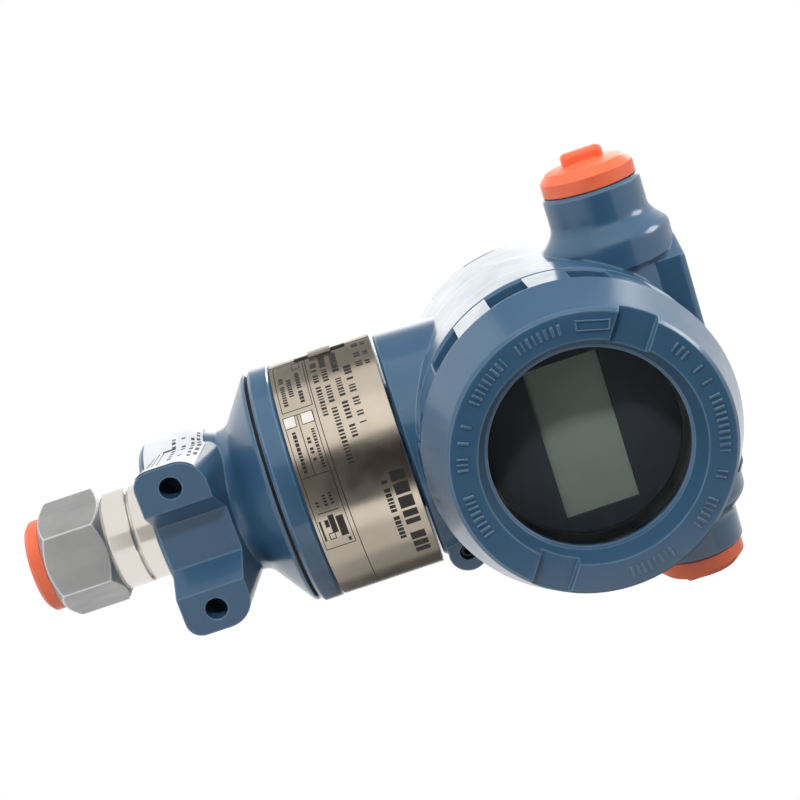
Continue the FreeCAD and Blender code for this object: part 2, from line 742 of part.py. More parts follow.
def clip_box(name, radius, width, height, low):
    """A box across the strip at the clip's angle, centred on a radius."""
    item = box(name, strip_cut * 2, width, height,
               (radius - strip_cut) * cosine(clip_angle) - width / 2 * cosine(clip_angle + 90),
               (radius - strip_cut) * sine(clip_angle) - width / 2 * sine(clip_angle + 90),
               low, ((0, 0, 1), clip_angle.value))
    item.setExpression("Placement.Rotation.Angle", f"{clip_angle.text} * 1 deg")
    return item


slot_cutter = clip_box("clip_slot", shell_radius, clip_slot_width, clip_slot_length,
                       band_low + clip_height - clip_slot_length / 2)
seam_cutter = clip_box("band_seam", shell_radius, band_seam_width, shell_height, shell_bottom)
nameplate_band = cut("nameplate_band", band_sleeve, fuse("band_cutters", [slot_cutter, seam_cutter]))
node(nameplate_band, "nameplate_band")

clip_sleeve = turned("clip_sleeve", ring_points(
    band_outer, band_outer + clip_thickness,
    band_low + clip_height - clip_length / 2, band_low + clip_height + clip_length / 2))
clip_window = clip_box("clip_window", band_outer, clip_width, clip_length * 2,
                       band_low + clip_height - clip_length)
band_clip = doc.addObject("Part::Common", "band_clip")
band_clip.Base = clip_sleeve
band_clip.Tool = clip_window
node(band_clip, "band_clip")


# ---------------------------------------------------------------------------------------------
# Blank label on the left ear's outer side
# ---------------------------------------------------------------------------------------------

label_skin = cut("label_skin", ear_block("label_outside", label_thickness + label_glue),
                 ear_block("label_inside", label_glue))
label_cutter = box("label_cutter", ear_half_width / 2, label_depth, label_length,
                   -(ear_half_width + 1), label_inset - ear_front, base_bottom + label_rise)
ear_label = doc.addObject("Part::Common", "ear_label")
ear_label.Base = label_skin
ear_label.Tool = label_cutter
node(ear_label, "ear_label")


# ---------------------------------------------------------------------------------------------
# Head housing: neck, drum, cable entries, saddle collars, deck and set-screw boss
# ---------------------------------------------------------------------------------------------

head_bottom = shell_top + head_gap
entry_z = head_axis + entry_height
head_neck_radius = shell_radius - head_neck_inset
head_neck_top_radius = head_neck_radius - head_neck_draft
rim_radius = bore_radius + rim_wall
drum_radius = rim_radius - drum_step
drum_rear_radius = drum_radius - parting_step

head_neck = turned("head_neck", [
    (0, head_bottom), (head_neck_radius - rim_edge, head_bottom),
    (head_neck_radius, head_bottom + rim_edge),
    (head_neck_top_radius, head_bottom + head_neck_height),
    (head_neck_top_radius, head_axis), (0, head_axis)])

groove_radius = drum_radius - drum_groove
groove_front = drum_front - rim_width
drum = turned("drum", [
    (0, -drum_back), (drum_rear_radius - rim_edge, -drum_back),
    (drum_rear_radius, rim_edge - drum_back), (drum_rear_radius, -parting_depth),
    (drum_radius, -parting_depth), (drum_radius, groove_front - drum_groove * 2),
    (groove_radius, groove_front - drum_groove), (groove_radius, groove_front),
    (rim_radius - rim_edge, groove_front), (rim_radius, groove_front + rim_edge),
    (rim_radius, drum_front - rim_edge), (rim_radius - rim_edge, drum_front), (0, drum_front)])
put(drum, 0, 0, head_axis, FORWARD)

# The deck lies along the drum's top and carries the cable entries; its front corners are cut.
deck_half_width = deck_width / 2
deck = doc.addObject("PartDesign::Body", "deck")
deck_plan = add_sketch(deck, "deck_plan", "XY_Plane")
outline(deck_plan, [
    (-deck_half_length, deck_half_width), (-deck_half_length, deck_corner_depth - deck_half_width),
    (deck_corner_length - deck_half_length, -deck_half_width),
    (deck_half_length - deck_corner_length, -deck_half_width),
    (deck_half_length, deck_corner_depth - deck_half_width), (deck_half_length, deck_half_width)])
deck_pad = deck.newObject("PartDesign::Pad", "deck_pad")
deck_pad.Profile = deck_plan
drive(deck_pad, Length=deck_top - deck_foot)
doc.recompute()
deck.Tip = soften(deck, "deck_rounded", find_edges(
    deck.Shape, lambda e, m: near(m.z, deck_top - deck_foot)), deck_round)
put(deck, 0, -entry_depth, head_axis + deck_foot)

# Each cable entry: a straight mouth that slopes out into a rounded collar.
entries = []
slope_foot = collar_reach + collar_slope / 2
slope_head = collar_reach - collar_slope / 2
for side, word in ((-1, "left"), (1, "right")):
    entry = turned(f"entry_{word}", [
        (0, 0), (collar_radius - collar_round / 2, 0), (collar_radius - collar_round / 2, collar_back),
        (collar_radius, collar_back + collar_round / 2), (collar_radius, slope_head),
        (entry_radius, slope_foot), (entry_radius, entry_reach - entry_edge),
        (entry_radius - entry_edge, entry_reach), (0, entry_reach)])
    doc.recompute()
    for step, (radius, height) in enumerate([
            (collar_radius, slope_head), (entry_radius, slope_foot)]):
        entry.Tip = soften(entry, f"entry_round_{word}_{step}",
                           ring_edges(entry.Shape, radius, height), collar_round)
        doc.recompute()
    entries.append(put(entry, 0, -entry_depth, entry_z, ((0, 1, 0), 90 * side)))

screw_boss = cylinder("screw_boss", screw_boss_radius, screw_boss_front - screw_boss_back,
                      screw_boss_side, -screw_boss_back, head_bottom + screw_boss_rise, FORWARD)
casting = fuse("casting", [head_neck, drum, deck, screw_boss] + entries)

bulkhead_back = bulkhead_front - bulkhead_thickness
front_room = cylinder("front_room", bore_radius, drum_front - bulkhead_front + 1,
                      0, -bulkhead_front, head_axis, FORWARD)
rear_room = cylinder("rear_room", bore_radius, drum_back + bulkhead_back + 1,
                     0, -bulkhead_back, head_axis, BACKWARD)
neck_bore = cylinder("neck_bore", module_neck_radius + body_gap, neck_bore_depth + 1,
                     0, 0, head_bottom - 1)
entry_bore = cylinder("entry_bore", entry_bore_radius, entry_reach * 2 + 2,
                      -(entry_reach + 1), -entry_depth, entry_z, ((0, 1, 0), 90))
front_sweep = cylinder("front_sweep", rim_radius + body_gap, head_neck_radius,
                       0, -drum_front, head_axis, FORWARD)
rear_sweep = cylinder("rear_sweep", rim_radius + body_gap, head_neck_radius,
                      0, drum_back, head_axis, BACKWARD)
wire_top = head_bottom + neck_bore_depth
wire_shaft = cylinder("wire_shaft", wire_way_radius, head_axis - wire_top,
                      0, -wire_way_depth, wire_top - wire_way_radius * 0.7)
wire_channel = box("wire_channel", wire_way_radius * 2, wire_way_depth - wire_channel_stop,
                   wire_way_radius * 0.7, -wire_way_radius, -wire_way_depth,
                   wire_top - wire_way_radius * 0.7)
set_screw_bore = cylinder("set_screw_bore", set_screw_radius + seat_gap,
                          set_screw_inset + set_screw_length + 1,
                          screw_boss_side, -(screw_boss_front - set_screw_inset - set_screw_length),
                          head_bottom + screw_boss_rise, FORWARD)
feed_bore = cylinder("feed_bore", feedthrough_radius + seat_gap, bulkhead_thickness + 2,
                     0, -(bulkhead_back - 1), head_axis - feedthrough_drop, FORWARD)
rooms = fuse("rooms", [front_room, rear_room, neck_bore, entry_bore, wire_shaft, wire_channel,
                       set_screw_bore, feed_bore, front_sweep, rear_sweep])
node(cut("housing", casting, rooms), "housing")

set_screw_body = doc.addObject("PartDesign::Body", "housing_set_screw")
spin(set_screw_body, "set_screw_turning", [
    (0, 0), (set_screw_radius - 0.5, 0), (set_screw_radius, 0.5),
    (set_screw_radius, set_screw_length - 0.4), (set_screw_radius - 0.4, set_screw_length),
    (0, set_screw_length)])
socket = add_sketch(set_screw_body, "set_screw_hexagon", "XY_Plane")
socket_corner = set_screw_socket / math.sqrt(3)
outline(socket, [(socket_corner * cosine(60 * k), socket_corner * sine(60 * k))
                 for k in range(6)])
socket.AttachmentOffset = FreeCAD.Placement(FreeCAD.Vector(0, 0, set_screw_length.value),
                                            FreeCAD.Rotation())
socket.setExpression("AttachmentOffset.Base.z", set_screw_length.text)
socket_cut = set_screw_body.newObject("PartDesign::Pocket", "set_screw_socket_cut")
socket_cut.Profile = socket
drive(socket_cut, Length=set_screw_length * 0.45)
put(set_screw_body, screw_boss_side, -(screw_boss_front - set_screw_inset - set_screw_length),
    head_bottom + screw_boss_rise, FORWARD)
node(set_screw_body, "housing_set_screw")


# ---------------------------------------------------------------------------------------------
# Covers: turned shells with lugs round the foot and two wrench slots across the face
# ---------------------------------------------------------------------------------------------

cover_foot = drum_front + cover_foot_gap
rear_foot = drum_back + cover_foot_gap
thread_end = drum_front - cover_thread_length


def lug_gaps(body, name, foot, lug_radius, depth, turn_sign):
    """Cut the gaps between the lugs, one groove repeated round the cover.

    A gap's floor is level at the foot and then rises out of the cover.
    """
    pitch = 360 / lug_count
    first = 180 - turn_sign * (lug_turn + pitch / 2)
    floor = lug_radius - depth
    beyond = lug_radius + depth / 2
    sketch = add_sketch(body, name + "_sketch")
    outline(sketch, [(floor, foot), (beyond, foot), (beyond, foot + lug_gap_length),
                     (floor, foot + lug_gap_floor)])
    sketch.AttachmentOffset = FreeCAD.Placement(
        FreeCAD.Vector(0, 0, 0), FreeCAD.Rotation(FreeCAD.Vector(0, 1, 0), first.value))
    sketch.setExpression("AttachmentOffset.Rotation.Angle", f"{first.text} * 1 deg")
    groove = body.newObject("PartDesign::Groove", name)
    groove.Profile = sketch
    groove.ReferenceAxis = (sketch, ["V_Axis"])
    groove.Midplane = True
    groove.Angle = pitch / 2
    pattern = body.newObject("PartDesign::PolarPattern", name + "_round")
    pattern.Originals = [groove]
    pattern.Axis = (sketch, ["V_Axis"])
    pattern.Angle = 360
    pattern.Occurrences = lug_count
    body.Tip = pattern


def wrench_slots(body, name, face, inner, turn_sign):
    """Cut the two slots that a bar wrench turns the cover by."""
    sketch = add_sketch(body, name + "_sketch", "XY_Plane")
    turn = 180 - turn_sign * wrench_turn
    along = (cosine(turn), sine(turn))
    across = (cosine(turn + 90), sine(turn + 90))
    outer = cover_face_radius + 3
    half = wrench_width / 2
    for side in (1, -1):
        corners = [(inner * side, half), (outer * side, half), (outer * side, -half),
                   (inner * side, -half)]
        outline(sketch, [(along[0] * u + across[0] * v, along[1] * u + across[1] * v)
                         for u, v in corners])
    sketch.AttachmentOffset = FreeCAD.Placement(FreeCAD.Vector(0, 0, face.value),
                                                FreeCAD.Rotation())
    sketch.setExpression("AttachmentOffset.Base.z", face.text)
    pocket = body.newObject("PartDesign::Pocket", name)
    pocket.Profile = sketch
    drive(pocket, Length=wrench_depth)
    body.Tip = pocket


cover_thread_radius = bore_radius - body_gap
cover_bore_radius = cover_thread_radius - cover_thread_wall
rear_lug_radius = bore_radius + rear_lug_wall
groove_floor = cover_thread_radius - seal_radius * 2
lip_depth = cover_face - window_depth
lip_back = lip_depth - window_lip
glass_front = lip_back - glass_gasket
glass_back = glass_front - glass_thickness
ring_back = glass_back - glass_ring_height
pocket_radius = glass_radius + seat_gap


def threaded_foot(foot, body_end):
    """A cover's threaded barrel from its inner end to its foot, with the seal's groove."""
    return [
        (cover_bore_radius, body_end - cover_thread_length),
        (cover_thread_radius - foot_edge, body_end - cover_thread_length),
        (cover_thread_radius, body_end - cover_thread_length + foot_edge),
        (cover_thread_radius, foot - seal_radius * 3), (groove_floor, foot - seal_radius * 3),
        (groove_floor, foot - seal_radius), (cover_thread_radius, foot - seal_radius),
        (cover_thread_radius, foot)]


front_cover = turned("front_cover", threaded_foot(cover_foot, drum_front) + [
    (rim_radius - foot_edge, cover_foot), (rim_radius, cover_foot + foot_edge),
    (rim_radius, cover_cone_start),
    (cover_face_radius + cover_edge / 2, cover_face - cover_edge),
    (cover_face_radius - cover_edge / 2, cover_face),
    (face_ring_radius, cover_face), (window_radius + cover_edge, lip_depth + cover_edge / 2),
    (window_radius, lip_depth), (window_radius, lip_back), (pocket_radius, lip_back),
    (pocket_radius, ring_back - cover_edge / 2), (cover_bore_radius, ring_back - cover_edge / 2)])
lug_gaps(front_cover, "front_gaps", cover_foot, rim_radius, lug_gap_depth, 1)
wrench_slots(front_cover, "front_wrench_slots", cover_face, face_ring_radius - wrench_overlap, 1)
put(front_cover, 0, 0, head_axis, FORWARD)
node(front_cover, "front_cover")

glass_parts = [
    ("glass_gasket", ring_points(window_radius + 0.2, glass_radius, glass_front, lip_back)),
    ("cover_glass", [(0, glass_back), (glass_radius - 0.4, glass_back),
                     (glass_radius, glass_back + 0.4), (glass_radius, glass_front),
                     (0, glass_front)]),
    ("glass_ring", ring_points(window_radius, glass_radius, ring_back, glass_back)),
]
for part_name, points in glass_parts:
    node(put(turned(part_name, points), 0, 0, head_axis, FORWARD), part_name)

rear_cover = turned("rear_cover", [
    (0, rear_face - rear_lid), (cover_bore_radius, rear_face - rear_lid)]
    + threaded_foot(rear_foot, drum_back) + [
    (rear_lug_radius - foot_edge, rear_foot), (rear_lug_radius, rear_foot + foot_edge),
    (rear_lug_radius, rear_foot + rear_lug_length),
    (cover_face_radius + cover_edge, rear_face - cover_edge), (cover_face_radius, rear_face),
    (face_ring_radius, rear_face), (face_ring_radius - cover_edge * 2, rear_face - rear_recess),
    (0, rear_face - rear_recess)])
lug_gaps(rear_cover, "rear_gaps", rear_foot, rear_lug_radius, rear_gap_depth, -1)
wrench_slots(rear_cover, "rear_wrench_slots", rear_face, face_ring_radius - cover_edge * 2, -1)
put(rear_cover, 0, 0, head_axis, BACKWARD)
node(rear_cover, "rear_cover")

for name, foot, turn in (("front_cover_seal", cover_foot, FORWARD),
                         ("rear_cover_seal", rear_foot, BACKWARD)):
    seal = doc.addObject("Part::Torus", name)
    drive(seal, Radius1=groove_floor + seal_radius, Radius2=seal_radius - seat_gap)
    side = -1 if turn is FORWARD else 1
    put(seal, 0, (foot - seal_radius * 2) * side, head_axis, turn)
    node(seal, name)


# ---------------------------------------------------------------------------------------------
# Electronics side: standoffs, main board, display housing, LCD and display board
# ---------------------------------------------------------------------------------------------

def on_circle(radius, turn):
    """A point on a circle round the drum's axis, as X and Z."""
    return radius * cosine(turn), head_axis + radius * sine(turn)


board_back = bulkhead_front + standoff_length
board_front = board_back + board_thickness
standoff_turns = (90, 210, 330)
standoffs, board_screws, screw_holes = [], [], []
for k, turn in enumerate(standoff_turns):
    x, z = on_circle(standoff_circle, turn)
    post = cylinder(f"post_{k}", standoff_radius, standoff_length, x, -bulkhead_front, z, FORWARD)
    bore = cylinder(f"post_bore_{k}", board_screw_radius + seat_gap, standoff_length,
                    x, -(bulkhead_front + 0.6), z, FORWARD)
    standoffs.append(cut(f"standoff_{k}", post, bore))
    head = cylinder(f"board_screw_head_{k}", board_screw_head, board_screw_head_height,
                    x, -board_front, z, FORWARD)
    shank = cylinder(f"board_screw_shank_{k}", board_screw_radius, board_screw_length,
                     x, -(board_front - board_screw_length), z, FORWARD)
    board_screws.append(fuse(f"board_screw_{k}", [head, shank]))
    screw_holes.append(cylinder(f"board_hole_{k}", board_screw_radius + seat_gap,
                                board_thickness + 2, x, -(board_back - 1), z, FORWARD))
node(group("board_standoffs", standoffs), "board_standoffs")
node(group("board_screws", board_screws), "board_screws")
board_disc = cylinder("board_disc", main_board_radius, board_thickness, 0, -board_back, head_axis,
                      FORWARD)
node(cut("main_board", board_disc, fuse("board_holes", screw_holes)), "main_board")

# The display housing is a cup that stands on the main board, open towards it.
cup = turned("display_cup", [
    (display_radius - display_wall, board_front), (display_radius, board_front),
    (display_radius, display_front - display_edge), (display_radius - display_edge, display_front),
    (0, display_front), (0, display_front - display_wall),
    (display_radius - display_wall, display_front - display_wall)])
put(cup, 0, 0, head_axis, FORWARD)
lcd_window = box("lcd_window", lcd_width, display_wall + 2, lcd_height,
                 -lcd_width / 2, -(display_front + 1), head_axis - lcd_height / 2)
screw_room = [cylinder(f"screw_room_{k}", board_screw_head + 0.4, board_screw_head_height + 0.5,
                       *(lambda p: (p[0], -board_front, p[1]))(on_circle(standoff_circle, turn)),
                       FORWARD) for k, turn in enumerate(standoff_turns)]
node(cut("display_housing", cup, fuse("cup_cutters", [lcd_window] + screw_room)),
     "display_housing")

lcd_front = display_front - display_wall
lcd_panel = box("lcd_panel", lcd_width + lcd_margin * 2, lcd_thickness, lcd_height + lcd_margin * 2,
                -(lcd_width / 2 + lcd_margin), -lcd_front, head_axis - lcd_height / 2 - lcd_margin)
node(lcd_panel, "lcd_panel")

display_board = cylinder("display_board", display_board_radius,
                         lcd_front - lcd_thickness - display_board_depth,
                         0, -display_board_depth, head_axis, FORWARD)
node(display_board, "display_board")


# ---------------------------------------------------------------------------------------------
# Terminal side: block with barriers, screws with clamps, feedthrough and ground screw
# ---------------------------------------------------------------------------------------------

block_seat = terminal_gap - bulkhead_back          # heights along +Y from the stem's axis
block_face = block_seat + terminal_base
terminal_z = head_axis - barrier_drop + terminal_lift


def screw(name, x, z, seat, head_radius, head_height, shank_radius, shank):
    """A slotted pan screw along +Y whose head sits on a face."""
    head = cylinder(name + "_head", head_radius, head_height, x, seat, z, BACKWARD)
    stem = cylinder(name + "_stem", shank_radius, shank, x, seat - shank, z, BACKWARD)
    whole = fuse(name + "_blank", [head, stem])
    groove = box(name + "_groove", head_radius * 2 + 1, head_height * 0.45 + 1, screw_slot_width,
                 x - head_radius - 0.5, seat + head_height * 0.55, z - screw_slot_width / 2)
    return cut(name, whole, groove)


terminal_disc = turned("terminal_disc", [
    (0, block_seat), (terminal_radius, block_seat), (terminal_radius, block_face - 1),
    (terminal_radius - 1, block_face), (0, block_face)])
put(terminal_disc, 0, 0, head_axis, BACKWARD)
# The disc is flat at the top, where the cable entries come in.
entry_flat = box("entry_flat", terminal_radius * 2 + 2, terminal_base + 2, terminal_radius,
                 -(terminal_radius + 1), block_seat - 1, entry_z - entry_bore_radius - 2)
barriers, terminal_screws, clamps, shank_holes = [], [], [], []
for k in range(terminal_count + 1):
    x = terminal_pitch * (k - terminal_count / 2)
    barriers.append(box(f"barrier_{k}", barrier_width, barrier_height + 1, barrier_reach,
                        x - barrier_width / 2, block_face - 1, terminal_z - barrier_reach / 2))
for k in range(terminal_count):
    x = terminal_pitch * (k - (terminal_count - 1) / 2)
    plate = box(f"clamp_plate_{k}", clamp_side, clamp_thickness, clamp_side,
                x - clamp_side / 2, block_face, terminal_z - clamp_side / 2)
    hole = cylinder(f"clamp_hole_{k}", terminal_shank_radius + seat_gap, clamp_thickness + 2,
                    x, block_face - 1, terminal_z, BACKWARD)
    clamps.append(cut(f"clamp_{k}", plate, hole))
    terminal_screws.append(screw(f"terminal_screw_{k}", x, terminal_z,
                                 block_face + clamp_thickness, terminal_screw_radius,
                                 terminal_screw_head, terminal_shank_radius, terminal_shank))
    shank_holes.append(cylinder(f"terminal_hole_{k}", terminal_shank_radius + seat_gap,
                                terminal_shank, x, block_face - terminal_shank + 0.8, terminal_z,
                                BACKWARD))
fixings = []
for side in (-1, 1):
    x = fixing_circle * side
    fixings.append(screw(f"fixing_{'left' if side < 0 else 'right'}", x, head_axis, block_face,
                         fixing_head_radius, fixing_head, fixing_shank_radius, terminal_base - 1))
    shank_holes.append(cylinder(f"fixing_hole_{'left' if side < 0 else 'right'}",
                                fixing_shank_radius + seat_gap, terminal_base + 2,
                                x, block_seat - 1, head_axis, BACKWARD))
terminal_solid = fuse("terminal_solid", [cut("terminal_plate", terminal_disc, entry_flat)] + barriers)
node(cut("terminal_block", terminal_solid, fuse("terminal_holes", shank_holes)), "terminal_block")
node(group("terminal_screws", terminal_screws), "terminal_screws")
node(group("terminal_clamps", clamps), "terminal_clamps")
node(group("block_screws", fixings), "block_screws")

feed_back = bulkhead_back - terminal_gap + 0.02
feed_front = bulkhead_front + feedthrough_lip_height
node(put(turned("feedthrough", [
    (0, feed_back), (feedthrough_radius, feed_back), (feedthrough_radius, bulkhead_front),
    (feedthrough_radius + feedthrough_lip, bulkhead_front),
    (feedthrough_radius + feedthrough_lip, feed_front), (0, feed_front)]),
    0, 0, head_axis - feedthrough_drop, FORWARD), "feedthrough")


# ---------------------------------------------------------------------------------------------
# Plugs and process cap: moulded flange with a grip tab, and a hollow spigot
# ---------------------------------------------------------------------------------------------

def moulded_plug(name, flange_radius, flange, dome, edge, spigot_radius, spigot, tab):
    """A push-in plug along its own +Z, seated at height 0, its spigot below."""
    profile = turned(name + "_turning", [
        (0, -plug_wall), (spigot_radius - plug_wall, -plug_wall),
        (spigot_radius - plug_wall - 0.4, -spigot), (spigot_radius - 0.6, -spigot),
        (spigot_radius, 1 - spigot), (spigot_radius, 0), (flange_radius, 0),
        (flange_radius, flange - edge), (flange_radius - edge, flange),
        (0, flange + dome)])
    tab_length, tab_width, tab_height = tab
    grip = box(name + "_grip", tab_length, tab_width, tab_height + dome + 1,
               -tab_length / 2, -tab_width / 2, flange - 1)
    doc.recompute()
    grip_rounded = doc.addObject("Part::Fillet", name + "_grip_rounded")
    grip_rounded.Base = grip
    rounding = tab_width.value * 0.3
    grip_rounded.Edges = [(n, rounding, rounding) for n in find_edges(
        grip.Shape, lambda e, m: m.z > (flange - 1).value + 0.1)]
    return fuse(name, [profile, grip_rounded])


for side, word in ((-1, "left"), (1, "right")):
    plug = moulded_plug(f"conduit_plug_{word}", plug_flange_radius, plug_flange, plug_dome,
                        plug_edge, plug_spigot_radius, plug_spigot,
                        (plug_tab_length, plug_tab_width, plug_tab_height))
    put(plug, (entry_reach + body_gap) * side, -entry_depth, entry_z, ((0, 1, 0), 90 * side))
    node(plug, f"conduit_plug_{word}")

cap = moulded_plug("process_cap", cap_flange_radius, cap_flange, cap_dome, cap_edge,
                   cap_spigot_radius, cap_spigot,
                   (cap_tab_length, plug_tab_width, cap_tab_height))
put(cap, 0, 0, -body_gap, ((1, 0, 0), 180))
node(cap, "process_cap")


# ---------------------------------------------------------------------------------------------
# Build, check every object, and write one STEP file per piece
# ---------------------------------------------------------------------------------------------

doc.recompute()
faults = [f"{o.Name}: {o.State}" for o in doc.Objects if "Invalid" in o.State or "Error" in o.State]
for name, item in nodes:
    if item.Shape.isNull() or not item.Shape.isValid() or not item.Shape.Solids:
        faults.append(f"{name}: bad shape")
if faults:
    raise RuntimeError("; ".join(faults))

os.makedirs("parts", exist_ok=True)
for name, item in nodes:
    item.Shape.exportStep(f"parts/{name}.step")
    box_of = item.Shape.BoundBox
    print(f"{name:22s} solids {len(item.Shape.Solids)} volume {item.Shape.Volume / 1000:8.2f} cm3 "
          f"z {box_of.ZMin:7.2f} .. {box_of.ZMax:7.2f}")
print(len(nodes), "pieces written")
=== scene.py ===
# %% [markdown]
# # A pressure transmitter, dressed for the camera
#
# The object is an in-line pressure transmitter: a steel process connection, a painted sensor module
# with two bracket ears, and a swivelling head with a display window. Its construction is already
# packed as a frame of solid pieces that know their real size and which body they ride on. This
# lesson gives those pieces their looks: soft cast edges, paint, steel, glass, moulded plugs, light.

import json
import math
import random

import bmesh
import bpy
from mathutils import Matrix, Vector

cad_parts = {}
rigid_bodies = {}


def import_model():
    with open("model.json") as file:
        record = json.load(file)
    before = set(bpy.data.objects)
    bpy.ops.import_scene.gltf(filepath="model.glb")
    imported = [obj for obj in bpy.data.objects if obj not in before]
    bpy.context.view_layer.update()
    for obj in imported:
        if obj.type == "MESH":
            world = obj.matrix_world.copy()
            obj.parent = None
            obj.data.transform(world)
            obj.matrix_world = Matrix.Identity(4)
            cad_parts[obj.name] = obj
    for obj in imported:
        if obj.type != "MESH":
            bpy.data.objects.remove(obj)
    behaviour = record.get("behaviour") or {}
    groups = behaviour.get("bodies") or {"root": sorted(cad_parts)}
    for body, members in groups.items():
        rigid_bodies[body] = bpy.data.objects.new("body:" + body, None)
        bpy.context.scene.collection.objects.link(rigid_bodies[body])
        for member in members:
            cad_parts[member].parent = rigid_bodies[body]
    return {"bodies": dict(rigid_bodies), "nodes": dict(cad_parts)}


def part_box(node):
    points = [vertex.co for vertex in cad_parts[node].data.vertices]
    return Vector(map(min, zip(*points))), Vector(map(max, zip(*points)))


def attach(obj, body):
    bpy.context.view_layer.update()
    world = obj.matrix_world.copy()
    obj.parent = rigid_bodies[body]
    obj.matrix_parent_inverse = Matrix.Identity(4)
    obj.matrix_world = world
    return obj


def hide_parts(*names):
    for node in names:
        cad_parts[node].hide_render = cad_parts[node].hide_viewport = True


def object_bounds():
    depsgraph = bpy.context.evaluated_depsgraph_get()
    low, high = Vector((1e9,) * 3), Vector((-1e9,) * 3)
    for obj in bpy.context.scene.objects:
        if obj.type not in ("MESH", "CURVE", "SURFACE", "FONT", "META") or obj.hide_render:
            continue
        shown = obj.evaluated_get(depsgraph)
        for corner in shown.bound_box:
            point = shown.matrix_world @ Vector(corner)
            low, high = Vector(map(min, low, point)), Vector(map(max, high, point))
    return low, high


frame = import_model()
cad_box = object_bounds()
nodes = frame["nodes"]
scene = bpy.context.scene
print("bodies:", ", ".join(frame["bodies"]))

# %% [markdown]
# ## The places that everything else is measured from
#
# A piece sits well when its place comes from the piece that carries it. So the few places that the
# rest needs are read from the frame's boxes: the axis of the drum, the face of the front cover and
# the radius of the nameplate band. Blender works in metres, and MM turns the millimetres of a
# drawing into them.

# %% Read the main places
MM = 0.001


def edges_of(node):
    """The low and high corners of a node's box, in millimetres."""
    low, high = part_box(node)
    return low / MM, high / MM


glass_low, glass_high = edges_of("cover_glass")
HEAD_AXIS = (glass_low.z + glass_high.z) / 2
cover_low, _ = edges_of("front_cover")
COVER_FACE = cover_low.y
band_low, band_high = edges_of("nameplate_band")
BAND_RADIUS = band_high.x
print(f"head axis at {HEAD_AXIS:.1f} mm, front cover's face at {COVER_FACE:.1f} mm")
print(f"nameplate band from {band_low.z:.1f} to {band_high.z:.1f} mm, radius {BAND_RADIUS:.2f} mm")

# %% [markdown]
# ## The camera
#
# The view is from slightly left of the front and almost level, with the camera rolled so that the
# stem lies across the picture. A long lens keeps the covers round. The camera's own axes are built
# from its azimuth, elevation and roll, because a roll is awkward to read in Euler angles.

# %% Make the camera
AZIMUTH = math.radians(-14.305)
ELEVATION = math.radians(0.842)
ROLL = math.radians(-18.737)
DISTANCE = 488.9 * MM
TARGET = Vector((-14.2, 0, 117.4)) * MM


def camera_axes(azimuth, elevation, roll):
    """Right, up and back directions of a camera whose picture has the stem lying across it."""
    back = Vector((math.sin(azimuth) * math.cos(elevation),
                   -math.cos(azimuth) * math.cos(elevation), math.sin(elevation)))
    across = (-back).cross(Vector((-1, 0, 0))).normalized()
    over = across.cross(-back)
    right = math.cos(roll) * across + math.sin(roll) * over
    up = math.cos(roll) * over - math.sin(roll) * across
    return right, up, back


right, up, back = camera_axes(AZIMUTH, ELEVATION, ROLL)
camera_data = bpy.data.cameras.new("studio_camera")
camera_data.sensor_width = 36
camera_data.lens = 71.5
camera_data.clip_start = 0.01
camera = bpy.data.objects.new("studio_camera", camera_data)
scene.collection.objects.link(camera)
camera.matrix_world = Matrix((
    (right.x, up.x, back.x, 0),
    (right.y, up.y, back.y, 0),
    (right.z, up.z, back.z, 0),
    (0, 0, 0, 1)))
camera.location = TARGET + back * DISTANCE
scene.camera = camera
print("camera at", [round(c / MM) for c in camera.location], "mm")

# %% [markdown]
# ## The lamps
#
# Satin paint and steel show what is around them, so the room matters as much as the lamps. A wide
# soft lamp on the -X side lights the pale edges, and a small one nearer the front lights the display
# and throws the shadow of the window's lip across it. The fills keep the dark sides readable. Only
# the lamps above and behind show in reflections, as soft streaks on the upper edges. The others are
# hidden from them, because a bright square mirrored in a polished band looks like a sticker. The
# Standard view transform shows each colour as it was written.

# %% Make the lamps
scene.view_settings.view_transform = "Standard"


def soft_lamp(name, direction, distance, size, watts, reflected=True):
    """A rectangular lamp in a direction from the camera's target, turned to face it."""
    data = bpy.data.lights.new(name, "AREA")
    data.shape = "RECTANGLE"
    data.size, data.size_y = size
    data.energy = watts
    lamp = bpy.data.objects.new(name, data)
    scene.collection.objects.link(lamp)
    towards = Vector(direction).normalized()
    lamp.location = TARGET + towards * distance
    lamp.rotation_mode = "QUATERNION"
    lamp.rotation_quaternion = towards.to_track_quat("Z", "Y")
    lamp.visible_glossy = reflected


soft_lamp("side_softbox", (-0.94, 0.34, 0.3), distance=0.9, size=(0.5, 0.5), watts=3.4,
          reflected=False)
soft_lamp("display_lamp", (-0.76, -0.65, 0.05), distance=0.9, size=(0.07, 0.07), watts=3.4,
          reflected=False)
soft_lamp("top_softbox", (-0.3, -0.12, 0.93), distance=0.7, size=(0.3, 0.24), watts=1.9)
soft_lamp("rim_softbox", (-0.4, 0.9, 0.5), distance=1.1, size=(0.3, 0.3), watts=4)
soft_lamp("front_fill", (0.3, -1.0, 0.5), distance=1.3, size=(0.9, 0.7), watts=0.35,
          reflected=False)
soft_lamp("right_fill", (1, -0.35, -0.1), distance=1.2, size=(0.9, 0.9), watts=2.3,
          reflected=False)
soft_lamp("foot_softbox", (-0.35, -0.5, -0.9), distance=0.9, size=(0.4, 0.4), watts=1.3,
          reflected=False)

# %% [markdown]
# ## A world that is white to the eye and dim to the paint
#
# A plain white background is wanted behind the object, but a room that shone as brightly would wash
# its colours out. The Light Path node tells the rays apart. Those that the camera, a reflection or
# clear glass sends out find pure white, and those that gather light for a matt surface find a dim
# world. The same trick serves the floor and the wall.

# %% Make the world
WORLD_LEVEL = 0.11


